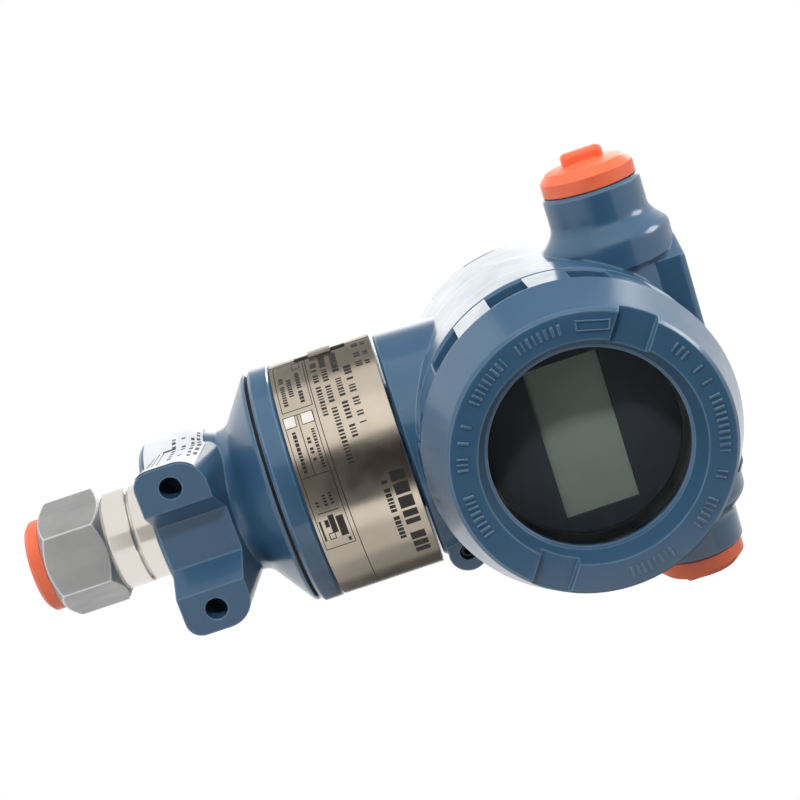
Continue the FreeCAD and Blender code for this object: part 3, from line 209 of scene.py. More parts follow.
def white_to_the_eye(tree, output, plain):
    """Let camera, glossy and transmission rays see pure white, and other rays a plain shader."""
    path = tree.nodes.new("ShaderNodeLightPath")
    seen = path.outputs["Is Camera Ray"]
    for ray in ("Is Glossy Ray", "Is Transmission Ray"):
        either = tree.nodes.new("ShaderNodeMath")
        either.operation = "MAXIMUM"
        tree.links.new(seen, either.inputs[0])
        tree.links.new(path.outputs[ray], either.inputs[1])
        seen = either.outputs[0]
    white = tree.nodes.new("ShaderNodeBackground" if plain.type == "BACKGROUND"
                           else "ShaderNodeEmission")
    white.inputs["Color"].default_value = (1, 1, 1, 1)
    white.inputs["Strength"].default_value = 1
    mix = tree.nodes.new("ShaderNodeMixShader")
    tree.links.new(seen, mix.inputs[0])
    tree.links.new(plain.outputs[0], mix.inputs[1])
    tree.links.new(white.outputs[0], mix.inputs[2])
    tree.links.new(mix.outputs[0], output.inputs["Surface"])


world = bpy.data.worlds.new("studio")
scene.world = world
world.use_nodes = True
background = world.node_tree.nodes["Background"]
background.inputs["Color"].default_value = (1, 1, 1, 1)
background.inputs["Strength"].default_value = WORLD_LEVEL
white_to_the_eye(world.node_tree, world.node_tree.nodes["World Output"], background)
print("world level:", WORLD_LEVEL)

# %% [markdown]
# ## The floor and the wall
#
# The floor is a wide pale sheet some way below the cap, as if the stem were held in a clamp, and a
# wall stands behind. Both are stage, not object, and the floor keeps the shadow that falls on it.
# They are the first meshes made here, so this cell also holds the one function that makes them all:
# from_pydata takes a list of points and a list of faces, and nothing has to be modelled by hand.

# %% Make the floor and the wall
FLOOR_DROP = 70 * MM
FLOOR_LEVEL = cad_box[0].z - FLOOR_DROP
STAGE_REACH = 6                  # metres from the stem to the edges of the floor, and up the wall
WALL_DEPTH = 3                   # metres from the stem back to the wall


def new_mesh(name, corners, faces, material):
    """An object of listed points and faces in one material, added to the scene."""
    mesh = bpy.data.meshes.new(name)
    mesh.from_pydata(corners, [], faces)
    mesh.materials.append(material)
    made = bpy.data.objects.new(name, mesh)
    scene.collection.objects.link(made)
    return made


def stage_sheet(name, corners, brightness):
    """A flat sheet of the stage in matt paint, pure white to the eye."""
    paint = bpy.data.materials.new(name)
    paint.use_nodes = True
    plain = paint.node_tree.nodes["Principled BSDF"]
    plain.inputs["Base Color"].default_value = (brightness, brightness, brightness, 1)
    plain.inputs["Roughness"].default_value = 0.9
    white_to_the_eye(paint.node_tree, paint.node_tree.nodes["Material Output"], plain)
    new_mesh(name, corners, [(0, 1, 2, 3)], paint)


stage_sheet("studio_floor", [(-STAGE_REACH, -STAGE_REACH, FLOOR_LEVEL),
                             (STAGE_REACH, -STAGE_REACH, FLOOR_LEVEL),
                             (STAGE_REACH, STAGE_REACH, FLOOR_LEVEL),
                             (-STAGE_REACH, STAGE_REACH, FLOOR_LEVEL)], brightness=0.97)
stage_sheet("studio_wall", [(-STAGE_REACH, WALL_DEPTH, FLOOR_LEVEL),
                            (STAGE_REACH, WALL_DEPTH, FLOOR_LEVEL),
                            (STAGE_REACH, WALL_DEPTH, STAGE_REACH),
                            (-STAGE_REACH, WALL_DEPTH, STAGE_REACH)], brightness=0.9)
print("floor at", round(FLOOR_LEVEL / MM), "mm, wall", WALL_DEPTH, "m behind")

# %% [markdown]
# ## Cards for the steel to mirror
#
# A polished cylinder is a map of the room. Seen from the camera, each strip of the nameplate band
# shows one direction round the horizon, so the greys of the room can be set one by one, with upright
# cards that only reflections see. The nearly black one stands where the camera and its operator
# would be, and under it hangs a grey one for the steel low on the stem. From there the +X side
# starts bright and gets darker towards the back, and the -X side is bright, pale and then grey. The
# brightest stands behind the object, and whitens the paint that is seen almost edge-on.

# %% Make the cards
CARD_DISTANCE = 0.45             # metres from the stem
CARD_FOOT, CARD_LOW, CARD_HIGH = -0.07, 0.03, 0.45       # heights in metres
CARD_FACET = 4                   # degrees that one flat of a card spans
CARD_WARMTH = (1, 0.97, 0.92)


def reflection_card(name, start, stop, level, low=CARD_LOW, high=CARD_HIGH):
    """An upright arc that glows at one level; its ends are degrees from -Y towards -X."""
    corners, faces = [], []
    steps = max(2, round(abs(stop - start) / CARD_FACET))
    for k in range(steps + 1):
        turn = math.radians(start + (stop - start) * k / steps)
        for height in (low, high):
            corners.append((-CARD_DISTANCE * math.sin(turn), -CARD_DISTANCE * math.cos(turn), height))
        if k:
            faces.append((2 * k - 2, 2 * k, 2 * k + 1, 2 * k - 1))
    material = bpy.data.materials.new(name)
    material.use_nodes = True
    tree = material.node_tree
    glow = tree.nodes.new("ShaderNodeEmission")
    glow.inputs["Color"].default_value = (*(level * c for c in CARD_WARMTH), 1)
    tree.links.new(glow.outputs[0], tree.nodes["Material Output"].inputs["Surface"])
    card = new_mesh(name, corners, faces, material)
    card.visible_camera = False
    card.visible_diffuse = False
    card.visible_transmission = False
    card.visible_volume_scatter = False
    card.visible_shadow = False


reflection_card("operator_card", -22, 34, level=0.03)
reflection_card("low_card", -5, 30, level=0.45, low=CARD_FOOT, high=CARD_LOW)
reflection_card("near_side_card", -42, -22, level=1.4)
reflection_card("far_side_card", -75, -42, level=0.8)
reflection_card("back_side_card", -105, -75, level=0.4)
reflection_card("corner_card", -140, -105, level=0.1)
reflection_card("bright_card", 34, 70, level=1.5)
reflection_card("pale_card", 70, 104, level=1.15)
reflection_card("grey_card", 104, 150, level=0.3)
reflection_card("rim_card", 158, 196, level=2.4)

# %% [markdown]
# ## A small kit for materials
#
# Every finish starts from the same physical shader. The Bevel node bends the normal near an edge,
# so that a machined corner shows the thin bright line that real corners have without any more
# mesh.

# %% The materials kit
NOISE_LOW, NOISE_HIGH = 0.3, 0.7         # nearly all of Blender's noise lies between these
EDGE_BEGINS, EDGE_FULL = 0.995, 0.90     # how the two normals agree where the pale edge, part wear and part painted highlight, begins and is full


def srgb(red, green, blue):
    """A colour as it is seen on a screen, 0 to 255, as the linear colour that shaders take."""
    channels = [c / 255 for c in (red, green, blue)]
    return tuple(c / 12.92 if c <= 0.04045 else ((c + 0.055) / 1.055) ** 2.4 for c in channels)


class Finish:
    """A material in the making: its tree, its shader and the helpers that wire them."""

    def __init__(self, name, colour, roughness, metallic=0.0):
        self.material = bpy.data.materials.new(name)
        self.material.use_nodes = True
        self.tree = self.material.node_tree
        self.shader = self.tree.nodes["Principled BSDF"]
        self.shader.inputs["Base Color"].default_value = (*colour, 1)
        self.shader.inputs["Roughness"].default_value = roughness
        self.shader.inputs["Metallic"].default_value = metallic
        self.colour = colour
        self.place = self.add("ShaderNodeTexCoord").outputs["Object"]

    def add(self, kind, **settings):
        """A new node with settings."""
        node = self.tree.nodes.new(kind)
        for key, value in settings.items():
            setattr(node, key, value)
        return node

    def join(self, output, socket):
        """Wire an output to an input."""
        self.tree.links.new(output, socket)

    def noise(self, grain_mm, detail, stretch=(1, 1, 1)):
        """Noise whose grain has a size in millimetres, stretched along an axis if asked."""
        scale = self.add("ShaderNodeMapping")
        scale.inputs["Scale"].default_value = stretch
        self.join(self.place, scale.inputs["Vector"])
        noise = self.add("ShaderNodeTexNoise")
        noise.inputs["Scale"].default_value = 1 / (grain_mm * MM)
        noise.inputs["Detail"].default_value = detail
        self.join(scale.outputs[0], noise.inputs["Vector"])
        return noise.outputs["Fac"]

    def spread(self, value, low, high):
        """Map noise, which stays near the middle, to a range."""
        ranged = self.add("ShaderNodeMapRange")
        ranged.inputs["From Min"].default_value = NOISE_LOW
        ranged.inputs["From Max"].default_value = NOISE_HIGH
        ranged.inputs["To Min"].default_value = low
        ranged.inputs["To Max"].default_value = high
        self.join(value, ranged.inputs["Value"])
        return ranged.outputs["Result"]

    def cover(self, factor, other):
        """Lay another colour over the base colour by a factor."""
        mix = self.add("ShaderNodeMix", data_type="RGBA")
        source = self.shader.inputs["Base Color"]
        if source.links:
            self.join(source.links[0].from_socket, mix.inputs["A"])
        else:
            mix.inputs["A"].default_value = (*self.colour, 1)
        mix.inputs["B"].default_value = (*other, 1)
        self.join(factor, mix.inputs["Factor"])
        self.join(mix.outputs["Result"], source)

    def tint(self, value, other, most):
        """Drift the base colour towards another one, by most at the top of the noise."""
        self.cover(self.spread(value, 0.0, most), other)

    def above(self, height_mm):
        """One above a height of the part and nought below it."""
        axes = self.add("ShaderNodeSeparateXYZ")
        self.join(self.place, axes.inputs[0])
        step = self.add("ShaderNodeMath", operation="GREATER_THAN")
        step.inputs[1].default_value = height_mm * MM
        self.join(axes.outputs["Z"], step.inputs[0])
        return step.outputs[0]

    def gloss(self, value, low, high):
        """Vary the roughness with a value."""
        self.join(self.spread(value, low, high), self.shader.inputs["Roughness"])

    def bump(self, value, depth_mm, strength):
        """Add a bump of a depth in millimetres over the normal so far."""
        bump = self.add("ShaderNodeBump")
        bump.inputs["Strength"].default_value = strength
        bump.inputs["Distance"].default_value = depth_mm * MM
        normal = self.shader.inputs["Normal"]
        if normal.links:
            self.join(normal.links[0].from_socket, bump.inputs["Normal"])
        self.join(value, bump.inputs["Height"])
        self.join(bump.outputs["Normal"], normal)

    def round_edges(self, radius_mm, samples=6):
        """Round edges in the light, before any bump."""
        bevel = self.add("ShaderNodeBevel", samples=samples)
        bevel.inputs["Radius"].default_value = radius_mm * MM
        self.join(bevel.outputs["Normal"], self.shader.inputs["Normal"])
        return bevel.outputs["Normal"]

    def edge_wear_and_highlight(self, bevelled, colour, amount):
        """Mix a colour into the corners, where the rounded normal leaves the true one: wear, and a
        painted highlight.
        """
        true = self.add("ShaderNodeNewGeometry")
        dot = self.add("ShaderNodeVectorMath", operation="DOT_PRODUCT")
        self.join(bevelled, dot.inputs[0])
        self.join(true.outputs["Normal"], dot.inputs[1])
        away = self.add("ShaderNodeMapRange")
        away.inputs["From Min"].default_value = EDGE_BEGINS
        away.inputs["From Max"].default_value = EDGE_FULL
        away.inputs["To Min"].default_value = 0
        away.inputs["To Max"].default_value = amount
        self.join(dot.outputs["Value"], away.inputs["Value"])
        self.cover(away.outputs["Result"], colour)


print("materials kit ready")

# %% [markdown]
# ## Blue enamel over cast aluminium
#
# The housing, the covers and the module are die castings under a tough satin paint. Seen close, the
# paint has a fine orange peel, and under it the skin of the casting wanders slightly. On corners the
# coat is thinner and paler, and that pale edge is strong enough to be a painted highlight as well. So
# the finish is a mid blue with noise at four scales: colour at a few centimetres, gloss at one,
# casting skin at millimetres, and peel below that.

# %% Blue enamel


def blue_enamel():
    """Satin blue paint over a casting."""
    finish = Finish("blue_enamel", srgb(57, 95, 127), roughness=0.34)
    rounded = finish.round_edges(0.9)
    # Pale corners: thinner paint, and a painted highlight where the edges catch the light.
    finish.edge_wear_and_highlight(rounded, srgb(140, 172, 196), amount=0.75)
    finish.tint(finish.noise(26, detail=3), srgb(50, 88, 118), most=0.6)
    finish.gloss(finish.noise(9, detail=3), 0.28, 0.38)
    finish.bump(finish.noise(3.2, detail=2), depth_mm=0.05, strength=0.35)
    finish.bump(finish.noise(0.7, detail=1), depth_mm=0.01, strength=0.35)
    finish.shader.inputs["Specular IOR Level"].default_value = 0.35
    finish.shader.inputs["Coat Weight"].default_value = 0.6
    finish.shader.inputs["Coat Roughness"].default_value = 0.12
    return finish.material


print("blue enamel defined")

# %% [markdown]
# ## The steel of the stem
#
# The process connection is one turned piece of bar with two surfaces: its hexagon keeps the dull
# mill finish, with near-white painted highlights along its edges, and its neck is turned and polished.
# The piece is one mesh, which stays as it was packed, so the material itself asks how high up the
# stem it is, and changes its colour and roughness above the hexagon.

# %% Stem steel
NECK_FOOT = 20.2                 # millimetres: just above the hexagon's upper face


def stem_steel():
    """Dull hexagon bar with near-white painted highlights on its edges, and a polished neck above it.
    """
    finish = Finish("stem_steel", srgb(181, 182, 181), roughness=0.5, metallic=1.0)
    finish.tint(finish.noise(12, detail=3), srgb(152, 153, 154), most=0.5)
    # Near-white corners: a painted highlight along the hexagon's edges.
    finish.edge_wear_and_highlight(finish.round_edges(1.0), srgb(252, 252, 252), amount=1.0)
    neck = finish.above(NECK_FOOT)
    finish.cover(neck, srgb(226, 221, 213))
    grain = finish.spread(finish.noise(2.5, detail=3, stretch=(1, 1, 0.15)), 0.44, 0.58)
    smooth = finish.add("ShaderNodeMix", data_type="FLOAT")
    finish.join(neck, smooth.inputs["Factor"])
    finish.join(grain, smooth.inputs["A"])
    finish.join(finish.spread(finish.noise(3, detail=2), 0.13, 0.2), smooth.inputs["B"])
    finish.join(smooth.outputs["Result"], finish.shader.inputs["Roughness"])
    finish.bump(finish.noise(0.5, detail=2, stretch=(1, 1, 0.1)), depth_mm=0.006, strength=0.3)
    return finish.material


print("stem steel defined, its neck from", NECK_FOOT, "mm up")

# %% [markdown]
# ## Turned, rolled and blackened steel
#
# The capsule inside is turned and polished. The nameplate is rolled strip with a fine grain along
# its length, and the screws are small and dull, one of them blackened. All are steel, so they differ
# in grain and in roughness more than in colour. Noise that is stretched along X and Y, and left as
# it is along Z, gives the rings and the grain that run round the stem.

# %% Other steel


def turned_steel():
    """Turned and polished stainless steel, its fine rings running round the stem."""
    finish = Finish("turned_steel", srgb(222, 218, 212), roughness=0.2, metallic=1.0)
    finish.round_edges(0.35)
    finish.gloss(finish.noise(3, detail=2), 0.16, 0.26)
    finish.bump(finish.noise(0.35, detail=2, stretch=(0.04, 0.04, 1)), depth_mm=0.004, strength=0.3)
    finish.shader.inputs["Anisotropic"].default_value = 0.35
    return finish.material


def strip_steel():
    """Rolled strip whose grain runs round the band."""
    finish = Finish("strip_steel", srgb(190, 181, 169), roughness=0.24, metallic=1.0)
    finish.tint(finish.noise(14, detail=3), srgb(180, 171, 159), most=0.6)
    finish.gloss(finish.noise(6, detail=3), 0.2, 0.27)
    finish.bump(finish.noise(0.35, detail=2, stretch=(0.05, 0.05, 1)), depth_mm=0.0008, strength=0.3)
    return finish.material


def screw_steel():
    """Small plain screws, standoffs and retaining rings."""
    finish = Finish("screw_steel", srgb(170, 170, 172), roughness=0.36, metallic=1.0)
    finish.round_edges(0.15, samples=4)
    finish.gloss(finish.noise(1.2, detail=3), 0.28, 0.46)
    finish.bump(finish.noise(0.25, detail=2), depth_mm=0.004, strength=0.4)
    return finish.material


def black_oxide():
    """A blackened steel screw."""
    finish = Finish("black_oxide", srgb(52, 54, 58), roughness=0.42, metallic=1.0)
    finish.round_edges(0.15, samples=4)
    finish.gloss(finish.noise(1.2, detail=3), 0.34, 0.5)
    return finish.material


print("turned, strip and screw steel and black oxide defined")

# %% [markdown]
# ## The moulded plugs
#
# The plugs that close the ports for shipping are soft polyethylene: bright orange, slightly waxy,
# with light that goes a little way in before it comes out again. Subsurface scattering does that. Its
# radius is longest for red, so that the thin rims glow warmer than the thick middle.

# %% Orange moulding


def orange_moulding():
    """Waxy orange polyethylene."""
    finish = Finish("orange_moulding", srgb(252, 120, 80), roughness=0.38)
    finish.round_edges(0.5)
    finish.tint(finish.noise(7, detail=2), srgb(246, 106, 64), most=0.5)
    finish.gloss(finish.noise(3, detail=2), 0.32, 0.46)
    finish.bump(finish.noise(1.1, detail=2), depth_mm=0.012, strength=0.35)
    finish.shader.inputs["Subsurface Weight"].default_value = 0.25
    finish.shader.inputs["Subsurface Radius"].default_value = (1.0, 0.35, 0.15)
    finish.shader.inputs["Subsurface Scale"].default_value = 1.2 * MM
    return finish.material


print("orange moulding defined")

# %% [markdown]
# ## Rubber and dark plastic
#
# The seals and the display's housing are quiet, but neither is one flat colour. Rubber has a pale
# bloom on it, and moulded plastic has the grain of its spark-eroded tool, which breaks up the light.

# %% Rubber and dark plastic


def black_rubber():
    """Matt black elastomer with a pale bloom."""
    finish = Finish("black_rubber", srgb(24, 24, 25), roughness=0.62)
    finish.tint(finish.noise(2.5, detail=3), srgb(42, 42, 44), most=0.7)
    finish.bump(finish.noise(0.4, detail=2), depth_mm=0.008, strength=0.4)
    return finish.material


def black_moulding():
    """Dark moulded plastic with a spark-eroded grain."""
    finish = Finish("black_moulding", srgb(80, 82, 92), roughness=0.5)
    finish.round_edges(0.3, samples=4)
    finish.tint(finish.noise(6, detail=3), srgb(88, 90, 102), most=0.6)
    finish.gloss(finish.noise(0.8, detail=2), 0.42, 0.6)
    finish.shader.inputs["Specular IOR Level"].default_value = 0.25
    finish.bump(finish.noise(0.35, detail=2), depth_mm=0.004, strength=0.4)
    return finish.material


print("rubber and dark plastic defined")

# %% [markdown]
# ## Boards and their contacts
#
# A circuit board is green solder mask over copper, and the copper shows through as a paler shade. A
# brick pattern at a fine scale reads as tracks without drawing any. The pins and clamps that the
# wiring meets are plated brass.

# %% Boards and contacts
TRACK_SCALE = 220                # makes a row of the pattern about 1.1 mm high


def circuit_board():
    """Green solder mask with the copper areas showing a shade lighter."""
    finish = Finish("circuit_board", srgb(20, 74, 46), roughness=0.32)
    tracks = finish.add("ShaderNodeTexBrick")
    tracks.inputs["Scale"].default_value = TRACK_SCALE
    tracks.inputs["Mortar Size"].default_value = 0.03
    tracks.inputs["Color1"].default_value = (*srgb(18, 70, 44), 1)
    tracks.inputs["Color2"].default_value = (*srgb(24, 82, 52), 1)
    tracks.inputs["Mortar"].default_value = (*srgb(44, 116, 74), 1)
    finish.join(finish.place, tracks.inputs["Vector"])
    finish.join(tracks.outputs["Color"], finish.shader.inputs["Base Color"])
    finish.gloss(finish.noise(4, detail=2), 0.26, 0.4)
    return finish.material


def contact_brass():
    """Plated brass of pins and clamps."""
    finish = Finish("contact_brass", srgb(212, 182, 110), roughness=0.28, metallic=1.0)
    finish.round_edges(0.15, samples=4)
    finish.gloss(finish.noise(0.8, detail=2), 0.22, 0.38)
    return finish.material


print("board and contact brass defined")

# %% [markdown]
# ## Label film
#
# The label is a white film with an adhesive back. It is slightly cooler than the light, drifts a
# little in tone, and lets the unevenness of what it is stuck to show as a very shallow bump.

# %% Label film


def label_film():
    """White label film, slightly glossy."""
    finish = Finish("label_film", srgb(224, 226, 231), roughness=0.4)
    finish.tint(finish.noise(5, detail=2), srgb(214, 217, 223), most=0.6)
    finish.bump(finish.noise(0.9, detail=2), depth_mm=0.006, strength=0.3)
    return finish.material


print("label film defined")

# %% [markdown]
# ## Window and display
#
# The window is a thick disc of clear glass. Real refraction would need long and noisy light paths
# to lift the display behind it, so the disc is a polished surface over something see-through: the
# Fresnel term alone decides how much it mirrors. Its index is set low, because both faces of the
# disc mirror the lamps. The liquid crystal cell is a grey-green film with a slight mottle.

# %% Window glass and display cell


def window_glass():
    """Clear glass: a mirror by Fresnel over a tinted way through, wired past the solid shader."""
    finish = Finish("window_glass", srgb(228, 236, 236), roughness=0.03)
    clear = finish.add("ShaderNodeBsdfTransparent")
    clear.inputs["Color"].default_value = (*srgb(238, 241, 239), 1)
    mirror = finish.add("ShaderNodeBsdfGlossy")
    mirror.inputs["Roughness"].default_value = 0.02
    fresnel = finish.add("ShaderNodeFresnel")
    fresnel.inputs["IOR"].default_value = 1.2
    mix = finish.add("ShaderNodeMixShader")
    finish.join(fresnel.outputs[0], mix.inputs[0])
    finish.join(clear.outputs[0], mix.inputs[1])
    finish.join(mirror.outputs[0], mix.inputs[2])
    finish.join(mix.outputs[0], finish.tree.nodes["Material Output"].inputs["Surface"])
    return finish.material


def display_cell():
    """The liquid crystal cell at rest: grey-green, with nothing shown on it."""
    finish = Finish("display_cell", srgb(192, 196, 191), roughness=0.3)
    finish.tint(finish.noise(9, detail=2), srgb(180, 185, 180), most=0.7)
    finish.gloss(finish.noise(2, detail=2), 0.38, 0.5)
    finish.shader.inputs["Specular IOR Level"].default_value = 0.15
    return finish.material


print("glass and display defined")

# %% [markdown]
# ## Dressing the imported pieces
#
# The solids of the frame already have the right shapes, so most of them need no new mesh, only a
# finish in their material slot. Each finish is made once and shared by all the pieces that were
# painted, plated or moulded the same way. The few that later pieces also need are kept by name.

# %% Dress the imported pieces
dressed = set()


def dress(material, *members):
    """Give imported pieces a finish, and hand it back for pieces that are made later."""
    for member in members:
        slots = nodes[member].data.materials
        slots.clear()
        slots.append(material)
        dressed.add(member)
    return material


enamel = dress(blue_enamel(), "housing", "front_cover", "rear_cover", "module_base", "module_shell")
dress(stem_steel(), "process_connection")
dress(turned_steel(), "isolating_diaphragm", "sensor_capsule")
dress(strip_steel(), "nameplate_band", "band_clip")
dress(black_oxide(), "housing_set_screw")
dress(screw_steel(), "board_standoffs", "board_screws", "terminal_screws", "block_screws",
      "glass_ring", "board_retainer")
dress(orange_moulding(), "conduit_plug_left", "conduit_plug_right", "process_cap")
rubber = dress(black_rubber(), "seam_gasket", "neck_seal", "glass_gasket", "front_cover_seal",
               "rear_cover_seal")
dress(black_moulding(), "display_housing", "terminal_block", "feedthrough", "module_connector")
dress(circuit_board(), "main_board", "display_board", "module_board")
dress(contact_brass(), "header_pins", "terminal_clamps")
film = dress(label_film(), "ear_label")
dress(window_glass(), "cover_glass")
dress(display_cell(), "lcd_panel")
print("undressed nodes:", sorted(set(nodes) - dressed))

# %% [markdown]
# ## Marks on curved surfaces
#
# The nameplate's print, the label's print and the raised marks of the cover are all small patches
# that follow a curved surface. One function builds the flat ones from a place function, which turns
# two coordinates of the surface into a point. No words are drawn: rows of text become rows of plain
# bars, and symbols become blocks and boxes.

# %% The patch maker
NARROW_BAR, WIDE_BAR = 0.6, 1.25         # a bar's least and greatest share of the width asked for
WORD_CHANCE, WORD_GAPS = 0.14, 4         # how often a word space comes, and its width in gaps


def patches(name, place, marks, finish, body, step=2.0):
    """One mesh of flat marks (u0, u1, v0, v1), each cut into steps along u."""
    corners, faces = [], []
    for u0, u1, v0, v1 in marks:
        cuts = max(1, math.ceil(abs(u1 - u0) / step))
        first = len(corners)
        for k in range(cuts + 1):
            u = u0 + (u1 - u0) * k / cuts
            corners += [place(u, v0), place(u, v1)]
        for k in range(cuts):
            at = first + 2 * k
            faces.append((at, at + 2, at + 3, at + 1))
    piece = new_mesh(name, corners, faces, finish)
    piece.data.shade_smooth()
    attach(piece, body)


def bar_row(start, stop, low, high, seed, width, gap):
    """A row of upright bars of uneven widths with a few word spaces, between two ends."""
    draw = random.Random(seed)
    marks, at = [], start
    while at < stop - width:
        wide = width * draw.uniform(NARROW_BAR, WIDE_BAR)
        marks.append((at, min(at + wide, stop), low, high))
        at += wide + gap * (WORD_GAPS if draw.random() < WORD_CHANCE else 1)
    return marks


def frame_of(start, stop, low, high, line_u, line_v):
    """The four rules of a box."""
    return [(start, stop, low, low + line_v), (start, stop, high - line_v, high),
            (start, start + line_u, low, high), (stop - line_u, stop, low, high)]


def ink(name, colour):
    """Matt print on metal or film."""
    finish = Finish(name, colour, roughness=0.5)
    finish.gloss(finish.noise(1.5, detail=2), 0.42, 0.6)
    return finish.material


print("a row of bars from 0 to 20 holds", len(bar_row(0, 20, 0, 1, seed=1, width=1, gap=0.5)))

# %% [markdown]
# ## The nameplate's print
#
# The real plate is etched or screen printed before the strip is rolled round the module. Coordinates
# on the band are degrees from the front towards -X, and millimetres of height. A bold row stands in
# the middle of the front, two framed fields lie below a long rule, and four rows of small bars fill
# the -X side, each with a bolder value in it.

# %% Print on the nameplate band
PATCH_LIFT = 0.03                # how far a patch stands off the metal under it
PRINT_RADIUS = BAND_RADIUS + PATCH_LIFT
THIN_RULE = (0.35, 0.22)         # a box's rules: degrees wide, and millimetres high
BOLDER = 0.1                     # how far a bold value reaches past its row, up and down


def around_stem(radius, turn, height):
    """A point at a radius round the stem, from degrees and a height."""
    around = math.radians(turn)
    return Vector((-radius * math.sin(around), -radius * math.cos(around), height)) * MM


def on_band(turn, height):
    """A point just above the band."""
    return around_stem(PRINT_RADIUS, turn, height)


band_marks = bar_row(-40, 9.5, 108.2, 112.6, seed=3, width=4.6, gap=1.3)
band_marks += bar_row(-27, 5, 105.2, 107.0, seed=5, width=1.6, gap=0.6)
for column in (60.5, 67.5, 76.5):
    band_marks += bar_row(column, column + 4, 111.5, 113.0, seed=7, width=1.1, gap=0.6)
    band_marks += bar_row(column, column + 4, 108.7, 110.7, seed=8, width=1.1, gap=0.6)

# Each row of data: where it starts, its low and high edge, and where its bold value lies.
DATA_ROWS = ((31.5, 104.9, 106.9, 58, 64), (26.5, 101.6, 103.4, 62, 80),
             (16, 98.2, 99.9, 68, 80.5), (40, 95.4, 97.0, 70, 76))
for start, low, high, bold_start, bold_stop in DATA_ROWS:
    band_marks += bar_row(start, bold_start - 1, low, high, seed=int(start), width=1.0, gap=0.75)
    band_marks += bar_row(bold_start, bold_stop, low - BOLDER, high + BOLDER, seed=int(start) + 1,
                          width=2.0, gap=0.45)

# The long rule, the two framed fields, the blocks of a symbol with a small box, and the dividers.
band_marks += [(-57, 80.5, 93.9, 94.15)]
band_marks += frame_of(-19.7, 45.2, 83.7, 92.8, *THIN_RULE)
band_marks += frame_of(47.5, 81, 84.0, 93.4, *THIN_RULE)
band_marks += [(-18.2, -16.2, 91, 91.9), (-14.7, -4.4, 89.5, 91.7), (-12, -3, 87.4, 89.1),
               (-8.4, -4.8, 86, 87.2), (-15, -4.6, 84.4, 85.0)]
band_marks += frame_of(-15, -11.5, 86, 87.9, line_u=0.4, line_v=0.25)
band_marks += [(-1.4, -1.0, 85, 91.5), (15.7, 16.1, 84.2, 92.4), (16.1, 45, 87.9, 88.15)]

# Rows of small bars in the fields: start, stop, low, high, a bar's width, and the gap.
FIELD_ROWS = (
    (1.5, 8, 89.7, 90.6, 1.0, 0.6), (1.5, 8, 87.8, 88.7, 1.0, 0.6), (2, 6, 85.4, 86.2, 1.0, 0.6),
    (18, 37, 90.8, 91.8, 1.0, 0.5), (22, 34, 88.9, 89.9, 1.0, 0.5), (18, 38, 85.2, 86.3, 1.6, 0.4),
    (50.5, 71, 90.2, 91.5, 1.3, 0.45), (55.5, 67, 87.4, 88.8, 1.0, 0.6), (51, 71, 85.2, 86.5, 1.0, 0.6))
for seed, (start, stop, low, high, width, gap) in enumerate(FIELD_ROWS, start=11):
    band_marks += bar_row(start, stop, low, high, seed, width, gap)
for start, stop, low, high in ((74, 80.2, 89.7, 92.2), (39.3, 45.2, 88.9, 92.7),
                               (39.3, 45.2, 83.7, 87.3)):
    band_marks += frame_of(start, stop, low, high, *THIN_RULE)
patches("nameplate_print", on_band, band_marks, ink("nameplate_ink", srgb(32, 29, 27)),
        "module")
print(len(band_marks), "marks on the band")

# %% [markdown]
# ## Painted shade in the slot, and the two white fields
#
# The band's ends meet in a slot that is longer than the clip over it. The shade in that slot is
# painted: a black patch of the seals' rubber lies on the shell there. It is a patch like the print,
# but on the shell's radius. Two small boxes of the print are filled with plain white.

# %% Lay the painted shade and the white fields
SHELL_DEPTH = 0.95               # from the outside of the band in to the shell
SLOT_SHADE_RADIUS = BAND_RADIUS - SHELL_DEPTH + PATCH_LIFT


def on_shell(turn, height):
    """A point just above the shell, under the band."""
    return around_stem(SLOT_SHADE_RADIUS, turn, height)


# A black patch on the shell under the band's slot: painted shade, not a part of the real object.
slot_painted_shade = [(84, 98, 89.5, 108.5)]
patches("slot_painted_shade", on_shell, slot_painted_shade, rubber, "module")
white_fields = [(39.6, 44.9, 89.1, 92.5), (39.6, 44.9, 83.9, 87.1)]
patches("nameplate_fields", on_band, white_fields, ink("field_white", srgb(236, 232, 226)),
        "module")
print(len(slot_painted_shade), "painted_slot_shade and", len(white_fields), "white fields laid")

# %% [markdown]
# ## The label on the ear
#
# The label is a film that wraps from the side of the left ear round the base. It is laid on the
# casting itself: from each of its points a ray is cast inwards on to the base, so the film follows
# the flat side, the rounded corner and the round part alike.

# %% Wrap the label round the ear
LABEL_LOW = 38.5                 # height of its lower edge
LABEL_BEND = 49.9                # height where the ear's corner starts to round
LABEL_CORNER = 8.0               # radius of that corner
LABEL_LENGTH = 18.0              # from its lower edge up and over the corner
LABEL_FRONT, LABEL_BACK = -33.1, 9.0
LABEL_STEP = 0.5                 # between rows of its mesh
LABEL_COLUMNS = 60               # strips of its mesh, from front to back
FILM_LIFT, INK_LIFT = 0.28, 0.33         # above the casting
OUTSIDE, RAY_START = 60, 5       # a place beyond the ear, and how far off the film a ray starts
base_mesh = nodes["module_base"]


def on_label(depth, along, lift):
    """A point above the base: millimetres behind the stem's axis, and length up the label."""
    straight = LABEL_BEND - LABEL_LOW
    level = LABEL_LOW + min(along, straight)
    tilt = max(0.0, along - straight) / LABEL_CORNER
    inwards = Vector((1, 0, 0))
    _, flat, _, _ = base_mesh.ray_cast(Vector((-OUTSIDE, depth, level)) * MM, inwards)
    centre = flat / MM + inwards * LABEL_CORNER
    aim = Vector((-math.cos(tilt), 0, math.sin(tilt)))
    _, hit, normal, _ = base_mesh.ray_cast((centre + aim * (LABEL_CORNER + RAY_START)) * MM, -aim)
    return hit + normal * lift * MM


